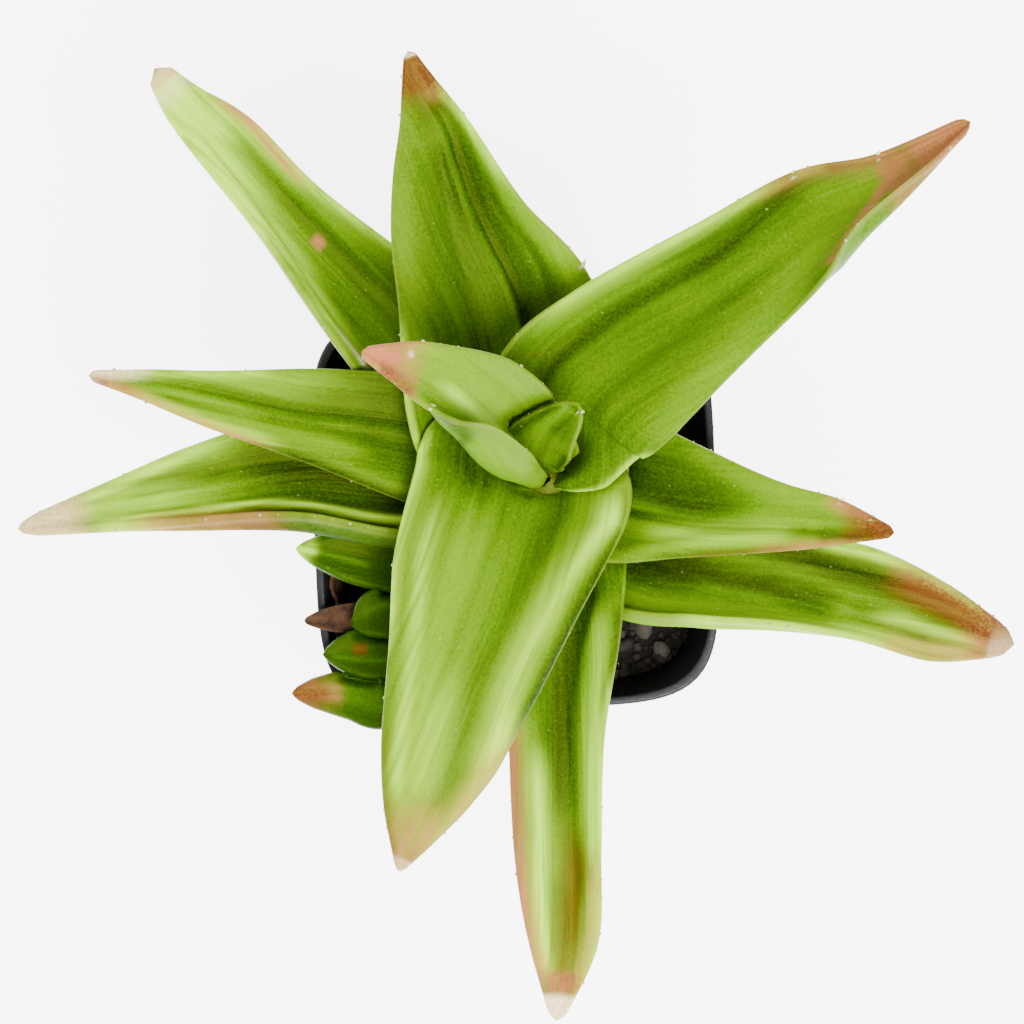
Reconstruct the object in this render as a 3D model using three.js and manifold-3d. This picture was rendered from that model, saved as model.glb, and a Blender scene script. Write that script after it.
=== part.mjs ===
// Potted rosette succulent: eleven fleshy, pointed leaves on a short stem, a small offset shoot beside
// it, and a square black nursery pot filled with soil. Millimetres, +Z up, the origin at the middle of
// the pot's base, +X to the right and +Y away from the reader in a plan of the plant.

import * as THREE from 'three';
import { mergeVertices } from 'three/addons/utils/BufferGeometryUtils.js';
import Module from 'manifold-3d';

const wasm = await Module();
wasm.setup();

// Pot: a square of rounded corners and slightly convex sides, turned a little about its axis
const POT_TURN = THREE.MathUtils.degToRad(2);
const POT_SQUARENESS = 5.3;
const POT_SIDES = 44;
const POT_HEIGHT = 56;
const POT_RIM_HALF_WIDTH = 29.7;
const POT_BASE_HALF_WIDTH = 21.5;
const POT_WALL = 1.2;
const POT_LIP_HEIGHT = 8;
const POT_LIP_STEP = 0.7;
const POT_FLOOR = 1.6;
const POT_EDGE = 0.4;
const POT_BASE_BEVEL = 1;
const DRAIN_HOLE_RADIUS = 3;
const DRAIN_HOLE_SPACING = 24;
const DRAIN_HOLE_SIDES = 12;

// Soil: fills the pot to below its rim, heaped a little around the stem
const CLEARANCE = 0.3;
const SOIL_DEPTH_BELOW_RIM = 8.5;
const SOIL_HEAP = 2;
const SOIL_HEAP_REACH = 16;
const SOIL_BRIM_DROP = 2;
const SOIL_BUMP_HEIGHTS = [0.5, 0.3];
const SOIL_BUMP_TURNS = [0.55, 0.47, 0.6, 0.9];
const SOIL_BUMP_START = 1.3;
const SOIL_SIDES = 32;
const SOIL_RINGS = 6;

// Main stem
const STEM_AT = new THREE.Vector2(4.5, 4);
const STEM_FOOT = 41;
const STEM_TOP = 64.5;
const STEM_FOOT_RADIUS = 5;
const STEM_RINGS = [[4.4, 51], [4.8, 57]];
const STEM_TOP_RADIUS = 3.6;
const STEM_TOP_BEVEL = [2, 1.5];
const STEM_SIDES = 16;

// Leaves: the number of sections along a leaf and of facets across each half of it
const LEAF_SECTIONS = 13;
const LEAF_FACETS = 4;
const LEAF_MARGIN = 0.9;
const LEAF_NARROWEST = 0.15;
const LEAF_TIP_SHARE = 0.12;
const LEAF_TAPER = 0.25;
const LEAF_FULLNESS = [3, 0.6];
const LEAF_CROWN = 2.2;
const LEAF_STEADINESS = 0.8;
const WING_REACH = 0.6;
const FACET_FINENESS = 8;
const LEAF_GAP = 0.4;
const TOOTH_RADIUS = 0.55;
const TOOTH_LEAN = 0.5;
const TOOTH_AHEAD = 0.05;
const TOOTH_SIDES = 5;

// Surfaces: a colour and a roughness each
const SURFACES = {
  pot: [0x24262a, 0.45],
  soil: [0x1e1711, 0.95],
  stem: [0x7c8a3a, 0.6],
  leaf: [0x8fb31c, 0.42],
  outerLeaf: [0x84ad3e, 0.42],
  offset: [0x4c8a17, 0.45],
  dry: [0x7a4a22, 0.85],
};

// Each station of a leaf, from its base to its tip, has the place of its trough, then for the half to
// the left and to the right of the way the leaf grows: the half width, and the slopes of the wing and of
// the margin in degrees. A slope over 90 degrees curls the margin inward over the trough.
const LEAVES = {
  leaf_bud: {
    thickness: 1.8,
    stations: [
      { at: [4.6, 5.2, 65.2], left: [2, 20, 20], right: [2, 20, 20] },
      { at: [3, 6.5, 69], left: [3.6, 15, 12], right: [3.2, 15, 12] },
      { at: [3.5, 8.8, 73], left: [4.6, 14, 10], right: [4.2, 14, 10] },
      { at: [5.3, 11.1, 77], left: [3.4, 12, 8], right: [3.2, 12, 8] },
      { at: [7.2, 12.9, 80.5], left: [2, 10, 8], right: [1.9, 10, 8] },
      { at: [8.5, 14.2, 82.5], left: [0.3, 10, 10], right: [0.3, 10, 10] },
    ],
    teeth: [{ along: 0.9, side: 1, length: 0.8 }],
  },
  leaf_inner: {
    thickness: 3.2,
    facets: 6,
    stations: [
      { at: [5.2, 5.5, 65.5], left: [0.7, 50, 95], right: [3.4, 50, 50] },
      { at: [3, 7.4, 71.5], left: [2.4, 54, 160], right: [4.7, 45, 50] },
      { at: [-2, 10.3, 79.5], left: [2.6, 103, 165], right: [7.8, 38, 35] },
      { at: [-6.5, 14.3, 87.5], left: [2.4, 92, 142], right: [7.4, 30, 20] },
      { at: [-12.1, 18.3, 94], left: [3.8, 29, 3], right: [3.7, 24, 10] },
      { at: [-17, 19.5, 97], left: [1.5, 30, 10], right: [2, 20, 10] },
      { at: [-20, 20.5, 98.5], left: [0.3, 10, 10], right: [0.3, 10, 10] },
    ],
    teeth: [{ along: 0.61, side: -1, length: 0.9 }],
  },
  leaf_upper_right: {
    thickness: 4.2,
    facets: 6,
    stations: [
      { at: [2.5, 4, 66], left: [5, 50, 60], right: [4.5, 10, 0] },
      { at: [3, 9, 68], left: [6, 60, 60], right: [11.5, 18, -5] },
      { at: [4.5, 18.5, 72], left: [6, 62, 60], right: [17.5, 18, -10] },
      { at: [12, 25.5, 75.5], left: [5.4, 58, 30], right: [18.2, 16, -20] },
      { at: [28, 34, 83], left: [5.4, 50, 20], right: [12.4, 20, 0] },
      { at: [39.5, 42, 89], left: [3.5, 45, 20], right: [9.2, 30, 95] },
      { at: [49, 45.5, 93], left: [1.4, 40, 40], right: [4.4, 45, 125] },
      { at: [60, 51, 97], left: [0.3, 30, 40], right: [0.3, 40, 60] },
    ],
    teeth: [{ along: 0.72, side: -1, length: 1 }, { along: 0.86, side: -1, length: 1.2 }],
  },
  leaf_front: {
    thickness: 4.4,
    stations: [
      { at: [6, 9, 63], left: [8.5, 30, 30], right: [15, 26, 20] },
      { at: [5.3, 5, 64.5], left: [10.5, 30, 20], right: [18.5, 24, 10] },
      { at: [4.5, -1, 66.5], left: [10.6, 34, 0], right: [19.5, 22, -5] },
      { at: [0.5, -14.5, 71.5], left: [7.8, 40, -30], right: [18.8, 16, -25] },
      { at: [-5, -27, 74], left: [6.9, 40, -40], right: [13.8, 14, -30] },
      { at: [-9.5, -38.5, 73.5], left: [4.7, 30, -30], right: [9.9, 14, -20] },
      { at: [-13, -45.5, 72], left: [2.4, 20, -10], right: [5.8, 14, -10] },
      { at: [-16.5, -51.5, 70.5], left: [0.3, 10, 0], right: [0.3, 10, 0] },
    ],
    teeth: [],
  },
  leaf_top: {
    thickness: 4,
    stations: [
      { at: [7, -2, 62], left: [8.5, 40, 40], right: [8.5, 40, 40] },
      { at: [4.5, 12.5, 64.5], left: [18.5, 20, 10], right: [11.5, 26, 20] },
      { at: [0.5, 29, 70], left: [17.5, 22, 5], right: [10.4, 34, 20] },
      { at: [-5, 40.5, 75.5], left: [12.9, 20, 0], right: [6.3, 34, 20] },
      { at: [-9, 51.5, 81], left: [7.9, 18, 10], right: [2.9, 30, 20] },
      { at: [-12.5, 57.5, 84], left: [3, 15, 10], right: [1.6, 20, 20] },
      { at: [-14.5, 62, 86], left: [0.3, 10, 10], right: [0.3, 10, 10] },
    ],
    teeth: [{ along: 0.36, side: 1, length: 1.6 }],
  },
  leaf_right: {
    thickness: 4,
    stations: [
      { at: [-1.5, 4, 60.5], left: [8, 40, 40], right: [7.5, 40, 40] },
      { at: [12.5, 0.5, 62.5], left: [13, 30, 20], right: [8, 34, 10] },
      { at: [25.5, -2, 66], left: [10.6, 24, -10], right: [5, 34, -20] },
      { at: [37.5, -2.5, 70], left: [5.7, 20, 0], right: [3.5, 34, -10] },
      { at: [45.5, -3, 72.5], left: [3.8, 20, 0], right: [2, 24, 0] },
      { at: [53, -3.5, 74.5], left: [0.3, 10, 10], right: [0.3, 10, 10] },
    ],
    teeth: [{ along: 0.8, side: -1, length: 1 }, { along: 0.92, side: -1, length: 0.8 }],
  },
  leaf_left: {
    thickness: 4,
    stations: [
      { at: [11, 2.5, 60.5], left: [8, 40, 40], right: [8, 40, 40] },
      { at: [-3.5, 9, 62], left: [11.5, 30, 0], right: [9.5, 30, 30] },
      { at: [-17, 12.5, 65], left: [10.5, 30, -20], right: [6.5, 24, 10] },
      { at: [-30.5, 14, 68.5], left: [6.9, 30, -30], right: [5.5, 20, 0] },
      { at: [-43, 16.5, 72], left: [4.9, 24, -20], right: [2.5, 18, 0] },
      { at: [-52, 18, 74], left: [2.6, 20, 0], right: [1, 18, 10] },
      { at: [-59.5, 18.5, 75.5], left: [0.3, 10, 10], right: [0.3, 10, 10] },
    ],
    teeth: [],
  },
  leaf_lower_front: {
    thickness: 4,
    stations: [
      { at: [4.5, 8.5, 58], left: [7.5, 40, 40], right: [7.5, 40, 40] },
      { at: [5.5, -5, 59.5], left: [10, 30, 30], right: [8.5, 30, 10] },
      { at: [7, -18, 61.5], left: [8, 40, 0], right: [8.5, 30, -10] },
      { at: [7.5, -33.5, 62.5], left: [5.1, 50, -10], right: [8.2, 30, -20] },
      { at: [7.5, -50, 61.5], left: [4.6, 45, 0], right: [7.3, 30, -10] },
      { at: [7.5, -63, 60], left: [4.1, 35, 20], right: [5.1, 30, 10] },
      { at: [6.1, -74.5, 58.5], left: [0.8, 20, 20], right: [0.6, 20, 20] },
    ],
    teeth: [],
  },
  leaf_upper_left: {
    thickness: 4,
    stations: [
      { at: [8, 1, 56.5], left: [7.5, 40, 40], right: [7.5, 40, 40] },
      { at: [-6, 15, 59], left: [10, 40, 40], right: [9.5, 40, 40] },
      { at: [-20.5, 29.5, 63], left: [7.5, 50, 60], right: [7.8, 40, 50] },
      { at: [-32.5, 42, 67], left: [4.5, 45, 60], right: [5.1, 35, 50] },
      { at: [-41.5, 51.5, 70], left: [3.5, 40, 40], right: [4.9, 30, 20] },
      { at: [-47, 57, 71.5], left: [2.5, 25, 20], right: [3, 20, 10] },
      { at: [-50.3, 61.2, 72.5], left: [1.4, 10, 10], right: [1.4, 10, 10] },
    ],
    teeth: [],
  },
  leaf_lower_right: {
    thickness: 4.4,
    margin: 1.3,
    stations: [
      { at: [-2, 1, 55], left: [6, 40, 40], right: [6, 40, 40] },
      { at: [15.5, -9.5, 59], left: [8.5, 30, 30], right: [4.6, 35, 80] },
      { at: [27, -12, 61.5], left: [10, 24, 10], right: [3.5, 35, 90] },
      { at: [38.5, -13, 63], left: [9, 20, 0], right: [3.2, 35, 80] },
      { at: [50, -15, 63.5], left: [8.8, 20, -5], right: [3.2, 35, 50] },
      { at: [61.5, -17, 62.5], left: [5.4, 16, 0], right: [4.6, 20, 20] },
      { at: [71.6, -19.5, 61], left: [1.2, 10, 10], right: [1.7, 10, 10] },
    ],
    teeth: [],
  },
  leaf_lower_left: {
    thickness: 5,
    margin: 1.6,
    stations: [
      { at: [12.5, 2.5, 55], left: [6, 30, 30], right: [6.5, 30, 30] },
      { at: [-3.5, 3.5, 58.5], left: [7, 30, 60], right: [9, 24, 20] },
      { at: [-17.5, 3.5, 61.5], left: [6.8, 30, 105], right: [8.5, 18, 10] },
      { at: [-31, 4.5, 63.5], left: [5.6, 30, 115], right: [7.9, 10, 0] },
      { at: [-45.5, 2, 65], left: [3.2, 30, 100], right: [6.5, 8, -10] },
      { at: [-60, -0.5, 66], left: [1.8, 25, 50], right: [2.8, 10, -5] },
      { at: [-70.9, -3, 67], left: [0.3, 10, 10], right: [0.3, 10, 10] },
    ],
    teeth: [],
  },
};
const OUTER_LEAVES = ['leaf_lower_front', 'leaf_upper_left', 'leaf_lower_right', 'leaf_lower_left'];

// Offset shoot: its stem's way up from the soil, and its small plump leaves
const SHOOT_PATH = [
  [-5.5, -8, 43], [-7, -10, 50], [-9.5, -16, 55], [-10.5, -21.5, 57.5], [-11, -25, 59],
];
const SHOOT_RADIUS = 2.2;
const SHOOT_SIDES = 4;
const SHOOT_STEPS = 6;
const SHOOT_LEAF_SECTIONS = 6;
const SHOOT_LEAF_FACETS = 2;
const SHOOT_LEAF_THICKNESS = 3.6;
const SHOOT_LEAF_WING = 12;
const SMALL_LEAF_BASE = 1.4;
const SHOOT_LEAVES = [
  [[-9, -12, 55], [-17.5, -8.5, 58.5, 3.1], [-24, -7, 60, 2.9], [-31.6, -6, 60.5, 0.3]],
  [[-9.5, -16, 56], [-17, -15.3, 59, 2.8], [-20.6, -15.6, 59.8, 2.5], [-23.2, -16.7, 60, 1.1]],
  [[-10, -20, 56], [-17.5, -21, 58.2, 3], [-22.5, -21.3, 58.8, 2.8], [-27.8, -21.5, 59, 0.3]],
  [[-10.5, -24, 58], [-18.5, -28.3, 60.6, 2.8], [-24.5, -27.3, 60.5, 2.6], [-32.2, -27.1, 60.5, 0.3]],
  [[-9.5, -17, 56], [-5, -19, 59, 2.6], [-1.5, -20, 60, 2.2], [3, -20.5, 61, 0.4]],
  [[-10.5, -23, 57], [-6, -26, 60, 2.6], [-2.5, -27.5, 61, 2.2], [1.5, -29, 61.5, 0.4]],
  [[-11, -24.5, 58.5], [-12, -28.6, 61.5, 2.2], [-12.5, -30.5, 63, 1.8], [-13, -32.5, 64.5, 0.3]],
];

// Dead growth: a shrivelled leaf that reaches over the pot's rim, and a strip along its inner wall
const DRY_LEAF = [
  [-13.5, -15.5, 54], [-19, -16, 55, 1.8], [-25.5, -16.3, 57.3, 1.7], [-30.6, -16.6, 58, 0.4],
];
const DRY_LEAF_THICKNESS = 1;
const DRY_LEAF_WING = 30;
const DRY_STRIP_ARC = [190, 224];
const DRY_STRIP_THICKNESS = 0.8;
const DRY_STRIP_LIFT = 2;
const DRY_STRIP_TOP_DROP = 0.3;
const DRY_STRIP_NOTCH = 1.1;
const DRY_STRIP_NOTCHES = 3;
const DRY_STRIP_STEPS = 8;

function bareGeometry(positions, triangles) {
  const geometry = new THREE.BufferGeometry();
  geometry.setAttribute('position', new THREE.Float32BufferAttribute(positions, 3));
  geometry.setIndex(triangles);
  return geometry;
}

// A closed surface as a solid: shared vertices merged, triangles without an area dropped
function toSolid(geometry) {
  const source = geometry.index ? geometry.clone() : geometry;
  source.deleteAttribute('normal');
  source.deleteAttribute('uv');
  const merged = mergeVertices(source, 1e-4);
  const triangles = [];
  for (let i = 0; i < merged.index.count; i += 3) {
    const [a, b, c] = [0, 1, 2].map((k) => merged.index.getX(i + k));
    if (a !== b && b !== c && c !== a) triangles.push(a, b, c);
  }
  return new wasm.Manifold(new wasm.Mesh({
    numProp: 3,
    vertProperties: new Float32Array(merged.attributes.position.array),
    triVerts: new Uint32Array(triangles),
  }));
}

function toGeometry(solid) {
  const mesh = solid.getMesh();
  const geometry = bareGeometry(Array.from(mesh.vertProperties), Array.from(mesh.triVerts));
  geometry.computeVertexNormals();
  return geometry;
}

// The biggest body of a solid, without the scraps that a cut may leave
function mainBody(solid) {
  const bodies = solid.decompose();
  bodies.sort((a, b) => b.volume() - a.volume());
  return bodies[0];
}

function meshOf(name, solid, [color, roughness]) {
  const material = new THREE.MeshStandardMaterial({ color, roughness, metalness: 0 });
  const mesh = new THREE.Mesh(toGeometry(solid), material);
  mesh.name = name;
  return mesh;
}

// One half of a leaf's section, from the trough to the margin, as { out, up, slope } for each facet line
function halfSection([width, wing, margin], facets) {
  const steps = facets * FACET_FINENESS;
  const slopeAt = (u) => {
    const toWing = THREE.MathUtils.smoothstep(u, 0, WING_REACH);
    const toMargin = THREE.MathUtils.smoothstep(u, WING_REACH, 1);
    return THREE.MathUtils.degToRad(wing * toWing + (margin - wing) * toMargin);
  };
  const line = [{ out: 0, up: 0, slope: slopeAt(0) }];
  for (let i = 0; i < steps; i += 1) {
    const middle = slopeAt((i + 0.5) / steps);
    const last = line[i];
    line.push({
      out: last.out + Math.cos(middle),
      up: last.up + Math.sin(middle),
      slope: slopeAt((i + 1) / steps),
    });
  }
  const scale = width / Math.max(...line.map((point) => point.out));
  return line
    .filter((_, i) => i % FACET_FINENESS === 0)
    .map(({ out, up, slope }) => ({ out: out * scale, up: up * scale, slope }));
}

function curveThrough(values) {
  return new THREE.CatmullRomCurve3(values.map((v) => new THREE.Vector3(...v)), false, 'catmullrom', 0.5);
}

// The place and the directions of a leaf's section at the share s of its length
function leafFrame(leaf, s) {
  const trough = curveThrough(leaf.stations.map((station) => station.at));
  const first = new THREE.Vector3(...leaf.stations[0].at);
  const last = new THREE.Vector3(...leaf.stations[leaf.stations.length - 1].at);
  const heading = last.sub(first).setZ(0).normalize();
  const forward = trough.getTangent(s);
  const level = forward.clone().setZ(0).addScaledVector(heading, LEAF_STEADINESS).normalize();
  const side = new THREE.Vector3(level.y, -level.x, 0);
  const up = new THREE.Vector3().crossVectors(side, forward).normalize();
  return { at: trough.getPoint(s), forward, side, up };
}

// The upper and lower lines of a leaf's section, from the left margin to the right one
function leafSection(leaf, s, grow) {
  const frame = leafFrame(leaf, s);
  if (s === 0) frame.at.addScaledVector(frame.forward, -grow);
  if (s === 1) frame.at.addScaledVector(frame.forward, grow);
  const facets = leaf.facets ?? LEAF_FACETS;
  const [power, ease] = LEAF_FULLNESS;
  const body = leaf.thickness * ((1 - s ** power) ** ease * (1 - s * LEAF_TAPER) + LEAF_TIP_SHARE);
  const edge = Math.min(leaf.margin ?? LEAF_MARGIN, body);
  const upper = [];
  const lower = [];
  for (const hand of [-1, 1]) {
    const values = leaf.stations.map((station) => (hand < 0 ? station.left : station.right));
    const [width, wing, margin] = curveThrough(values).getPoint(s).toArray();
    const half = halfSection([Math.max(width, LEAF_NARROWEST), wing, margin], facets);
    half.forEach(({ out, up, slope }, i) => {
      if (hand > 0 && i === 0) return;
      const thickness = edge + (body - edge) * (1 - (i / facets) ** LEAF_CROWN) + 2 * grow;
      const inward = frame.side.clone().multiplyScalar(-hand * Math.sin(slope))
        .addScaledVector(frame.up, Math.cos(slope));
      const onward = frame.side.clone().multiplyScalar(hand * Math.cos(slope))
        .addScaledVector(frame.up, Math.sin(slope));
      const top = frame.at.clone()
        .addScaledVector(frame.side, hand * out)
        .addScaledVector(frame.up, up)
        .addScaledVector(inward, grow);
      if (i === facets) top.addScaledVector(onward, grow);
      const bottom = top.clone().addScaledVector(inward, -thickness);
      const put = hand < 0 ? 'unshift' : 'push';
      upper[put](top);
      lower[put](bottom);
    });
  }
  return { upper, lower };
}

// A closed leaf blade: a grid of facets above, the same grid below, and strips around the outline
function leafBlade(leaf, grow = 0) {
  const sections = leaf.sections ?? LEAF_SECTIONS;
  const rings = [];
  for (let k = 0; k <= sections; k += 1) rings.push(leafSection(leaf, k / sections, grow));
  const across = rings[0].upper.length;
  const positions = rings.flatMap(({ upper, lower }) => [...upper, ...lower].flatMap((p) => p.toArray()));
  const top = (k, j) => k * 2 * across + j;
  const bottom = (k, j) => top(k, j) + across;
  const triangles = [];
  const quad = (a, b, c, d) => triangles.push(a, b, c, a, c, d);
  for (let k = 0; k < sections; k += 1) {
    for (let j = 0; j + 1 < across; j += 1) {
      quad(top(k, j), top(k, j + 1), top(k + 1, j + 1), top(k + 1, j));
      quad(bottom(k, j), bottom(k + 1, j), bottom(k + 1, j + 1), bottom(k, j + 1));
    }
    quad(top(k, 0), top(k + 1, 0), bottom(k + 1, 0), bottom(k, 0));
    quad(top(k, across - 1), bottom(k, across - 1), bottom(k + 1, across - 1), top(k + 1, across - 1));
  }
  for (let j = 0; j + 1 < across; j += 1) {
    quad(top(0, j), bottom(0, j), bottom(0, j + 1), top(0, j + 1));
    quad(top(sections, j), top(sections, j + 1), bottom(sections, j + 1), bottom(sections, j));
  }
  return toSolid(bareGeometry(positions, triangles));
}

// A small soft spine on a leaf's margin, pointing out and a little towards the tip
function leafTooth(leaf, { along, side, length }) {
  const { upper, lower } = leafSection(leaf, along, 0);
  const i = side < 0 ? 0 : upper.length - 1;
  const inner = side < 0 ? 1 : upper.length - 2;
  const foot = upper[i].clone().add(lower[i]).multiplyScalar(0.5);
  const out = upper[i].clone().sub(upper[inner]).normalize();
  const onward = leafFrame(leaf, Math.min(along + TOOTH_AHEAD, 1)).at;
  const ahead = onward.sub(leafFrame(leaf, along).at).normalize();
  out.addScaledVector(ahead, TOOTH_LEAN).normalize();
  const cone = new THREE.ConeGeometry(TOOTH_RADIUS, length + TOOTH_RADIUS, TOOTH_SIDES);
  cone.translate(0, (length - TOOTH_RADIUS) / 2, 0);
  cone.applyQuaternion(new THREE.Quaternion().setFromUnitVectors(new THREE.Vector3(0, 1, 0), out));
  cone.translate(foot.x, foot.y, foot.z);
  return toSolid(cone);
}

// A small leaf from a base point and three [x, y, z, half width] stations
function smallLeaf([base, ...rest], thickness, wing) {
  const stations = [[...base, SMALL_LEAF_BASE], ...rest].map(([x, y, z, width]) => (
    { at: [x, y, z], left: [width, wing, wing], right: [width, wing, wing] }
  ));
  return {
    thickness,
    stations,
    margin: thickness / 2,
    sections: SHOOT_LEAF_SECTIONS,
    facets: SHOOT_LEAF_FACETS,
  };
}

// A turned body whose round outline is drawn out to the pot's rounded square
function squareTurned(profile, sides) {
  const lathe = new THREE.LatheGeometry(profile.map(([r, z]) => new THREE.Vector2(r, z)), sides);
  lathe.rotateX(Math.PI / 2);
  const position = lathe.getAttribute('position');
  for (let i = 0; i < position.count; i += 1) {
    const angle = Math.atan2(position.getY(i), position.getX(i));
    const stretch = squareStretch(angle);
    position.setXY(i, position.getX(i) * stretch, position.getY(i) * stretch);
  }
  return lathe;
}

function squareStretch(angle) {
  const n = POT_SQUARENESS;
  return (Math.abs(Math.cos(angle)) ** n + Math.abs(Math.sin(angle)) ** n) ** (-1 / n);
}

// The pot's outer half width below its lip, at a height
function potHalfWidth(z) {
  const top = POT_RIM_HALF_WIDTH - POT_LIP_STEP;
  return THREE.MathUtils.mapLinear(z, 0, POT_HEIGHT, POT_BASE_HALF_WIDTH, top);
}

// The pot's inner half width at a height: the wall leans out more within the lip
function potInnerHalfWidth(z) {
  const lipFoot = POT_HEIGHT - POT_LIP_HEIGHT;
  if (z <= lipFoot) return potHalfWidth(z) - POT_WALL;
  const foot = potHalfWidth(lipFoot) - POT_WALL;
  return THREE.MathUtils.mapLinear(z, lipFoot, POT_HEIGHT, foot, POT_RIM_HALF_WIDTH - POT_WALL);
}

function potSolid() {
  const lipFoot = POT_HEIGHT - POT_LIP_HEIGHT;
  const profile = [
    [0, 0],
    [POT_BASE_HALF_WIDTH - POT_BASE_BEVEL, 0],
    [potHalfWidth(POT_BASE_BEVEL), POT_BASE_BEVEL],
    [potHalfWidth(lipFoot), lipFoot],
    [POT_RIM_HALF_WIDTH, lipFoot + POT_LIP_STEP],
    [POT_RIM_HALF_WIDTH, POT_HEIGHT - POT_EDGE],
    [POT_RIM_HALF_WIDTH - POT_EDGE, POT_HEIGHT],
    [potInnerHalfWidth(POT_HEIGHT) + POT_EDGE, POT_HEIGHT],
    [potInnerHalfWidth(POT_HEIGHT - POT_EDGE), POT_HEIGHT - POT_EDGE],
    [potInnerHalfWidth(lipFoot), lipFoot],
    [potInnerHalfWidth(POT_FLOOR), POT_FLOOR],
    [0, POT_FLOOR],
  ];
  let pot = toSolid(squareTurned(profile, POT_SIDES));
  const radius = DRAIN_HOLE_RADIUS;
  const reach = DRAIN_HOLE_SPACING / 2;
  for (const [x, y] of [[-reach, -reach], [reach, -reach], [reach, reach], [-reach, reach]]) {
    const drill = new THREE.CylinderGeometry(radius, radius, 4 * POT_FLOOR, DRAIN_HOLE_SIDES);
    drill.rotateX(Math.PI / 2);
    drill.translate(x, y, 0);
    pot = pot.subtract(toSolid(drill));
  }
  return pot;
}

// The height of the soil's uneven surface, with r the distance from the pot's axis
function soilHeight(x, y) {
  const r = Math.hypot(x, y);
  const heap = SOIL_HEAP * Math.exp(-((r / SOIL_HEAP_REACH) ** 2));
  const [broad, fine] = SOIL_BUMP_HEIGHTS;
  const [broadX, broadY, fineX, fineY] = SOIL_BUMP_TURNS;
  const bumps = broad * Math.sin(broadX * x + SOIL_BUMP_START) * Math.cos(broadY * y)
    + fine * Math.sin(fineY * y - fineX * x);
  return POT_HEIGHT - SOIL_DEPTH_BELOW_RIM + heap + bumps;
}

function soilSolid(holes) {
  const foot = POT_FLOOR + CLEARANCE;
  const brim = POT_HEIGHT - SOIL_DEPTH_BELOW_RIM;
  const outerAt = (z) => potInnerHalfWidth(z) - CLEARANCE;
  const drop = brim - SOIL_BRIM_DROP;
  const profile = [[0, foot], [outerAt(foot), foot], [outerAt(drop), drop]];
  for (let i = SOIL_RINGS; i >= 0; i -= 1) {
    profile.push([(outerAt(brim) * i) / SOIL_RINGS, brim]);
  }
  const soil = squareTurned(profile, SOIL_SIDES);
  const position = soil.getAttribute('position');
  for (let i = 0; i < position.count; i += 1) {
    if (position.getZ(i) < brim) continue;
    position.setZ(i, soilHeight(position.getX(i), position.getY(i)));
  }
  return mainBody(holes.reduce((body, hole) => body.subtract(hole), toSolid(soil)));
}

// The main stem, upright and tapering; grown by a clearance it cuts its hole and the leaves' bases
function stemSolid(grow) {
  const [bevelReach, bevelHeight] = STEM_TOP_BEVEL;
  const rings = [
    [STEM_FOOT_RADIUS, STEM_FOOT - grow],
    ...STEM_RINGS,
    [STEM_TOP_RADIUS, STEM_TOP - bevelHeight + grow],
    [STEM_TOP_RADIUS - bevelReach, STEM_TOP + grow],
  ];
  const profile = [[0, STEM_FOOT - grow], ...rings.map(([r, z]) => [r + grow, z]), [0, STEM_TOP + grow]];
  const lathe = new THREE.LatheGeometry(profile.map(([r, z]) => new THREE.Vector2(r, z)), STEM_SIDES);
  lathe.rotateX(Math.PI / 2);
  lathe.translate(STEM_AT.x, STEM_AT.y, 0);
  return toSolid(lathe);
}

function shootStem(grow) {
  const outline = new THREE.Shape();
  outline.absarc(0, 0, SHOOT_RADIUS + grow, 0, 2 * Math.PI);
  const tube = new THREE.ExtrudeGeometry(outline, {
    curveSegments: SHOOT_SIDES,
    steps: SHOOT_STEPS,
    extrudePath: new THREE.CatmullRomCurve3(SHOOT_PATH.map((p) => new THREE.Vector3(...p))),
  });
  return toSolid(tube);
}

function shootSolid(cutters) {
  let shoot = shootStem(0);
  for (const stations of SHOOT_LEAVES) {
    shoot = shoot.add(leafBlade(smallLeaf(stations, SHOOT_LEAF_THICKNESS, SHOOT_LEAF_WING)));
  }
  return mainBody(cutters.reduce((body, cutter) => body.subtract(cutter), shoot));
}

// A thin dead strip that stands along the pot's inner wall
function dryStripSolid() {
  const [from, to] = DRY_STRIP_ARC.map((angle) => THREE.MathUtils.degToRad(angle));
  const foot = POT_HEIGHT - SOIL_DEPTH_BELOW_RIM + DRY_STRIP_LIFT;
  const footReach = potInnerHalfWidth(foot) - CLEARANCE;
  const positions = [];
  const triangles = [];
  for (let i = 0; i <= DRY_STRIP_STEPS; i += 1) {
    const angle = THREE.MathUtils.lerp(from, to, i / DRY_STRIP_STEPS);
    const notch = DRY_STRIP_NOTCH * Math.sin(DRY_STRIP_NOTCHES * angle) ** 2;
    const top = POT_HEIGHT - DRY_STRIP_TOP_DROP - notch;
    const topReach = potInnerHalfWidth(top) - CLEARANCE;
    const corners = [
      [footReach - DRY_STRIP_THICKNESS, foot],
      [footReach, foot],
      [topReach, top],
      [topReach - DRY_STRIP_THICKNESS, top],
    ];
    for (const [r, z] of corners) {
      const reach = r * squareStretch(angle);
      positions.push(reach * Math.cos(angle), reach * Math.sin(angle), z);
    }
  }
  const at = (i, j) => i * 4 + (j % 4);
  for (let i = 0; i < DRY_STRIP_STEPS; i += 1) {
    for (let j = 0; j < 4; j += 1) {
      triangles.push(at(i, j), at(i + 1, j), at(i + 1, j + 1));
      triangles.push(at(i, j), at(i + 1, j + 1), at(i, j + 1));
    }
  }
  triangles.push(at(0, 0), at(0, 1), at(0, 2), at(0, 0), at(0, 2), at(0, 3));
  const end = DRY_STRIP_STEPS;
  triangles.push(at(end, 0), at(end, 2), at(end, 1), at(end, 0), at(end, 3), at(end, 2));
  return toSolid(bareGeometry(positions, triangles));
}

const plant = new THREE.Group();
const stemCutter = stemSolid(CLEARANCE);
const cutters = [stemCutter];

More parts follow.
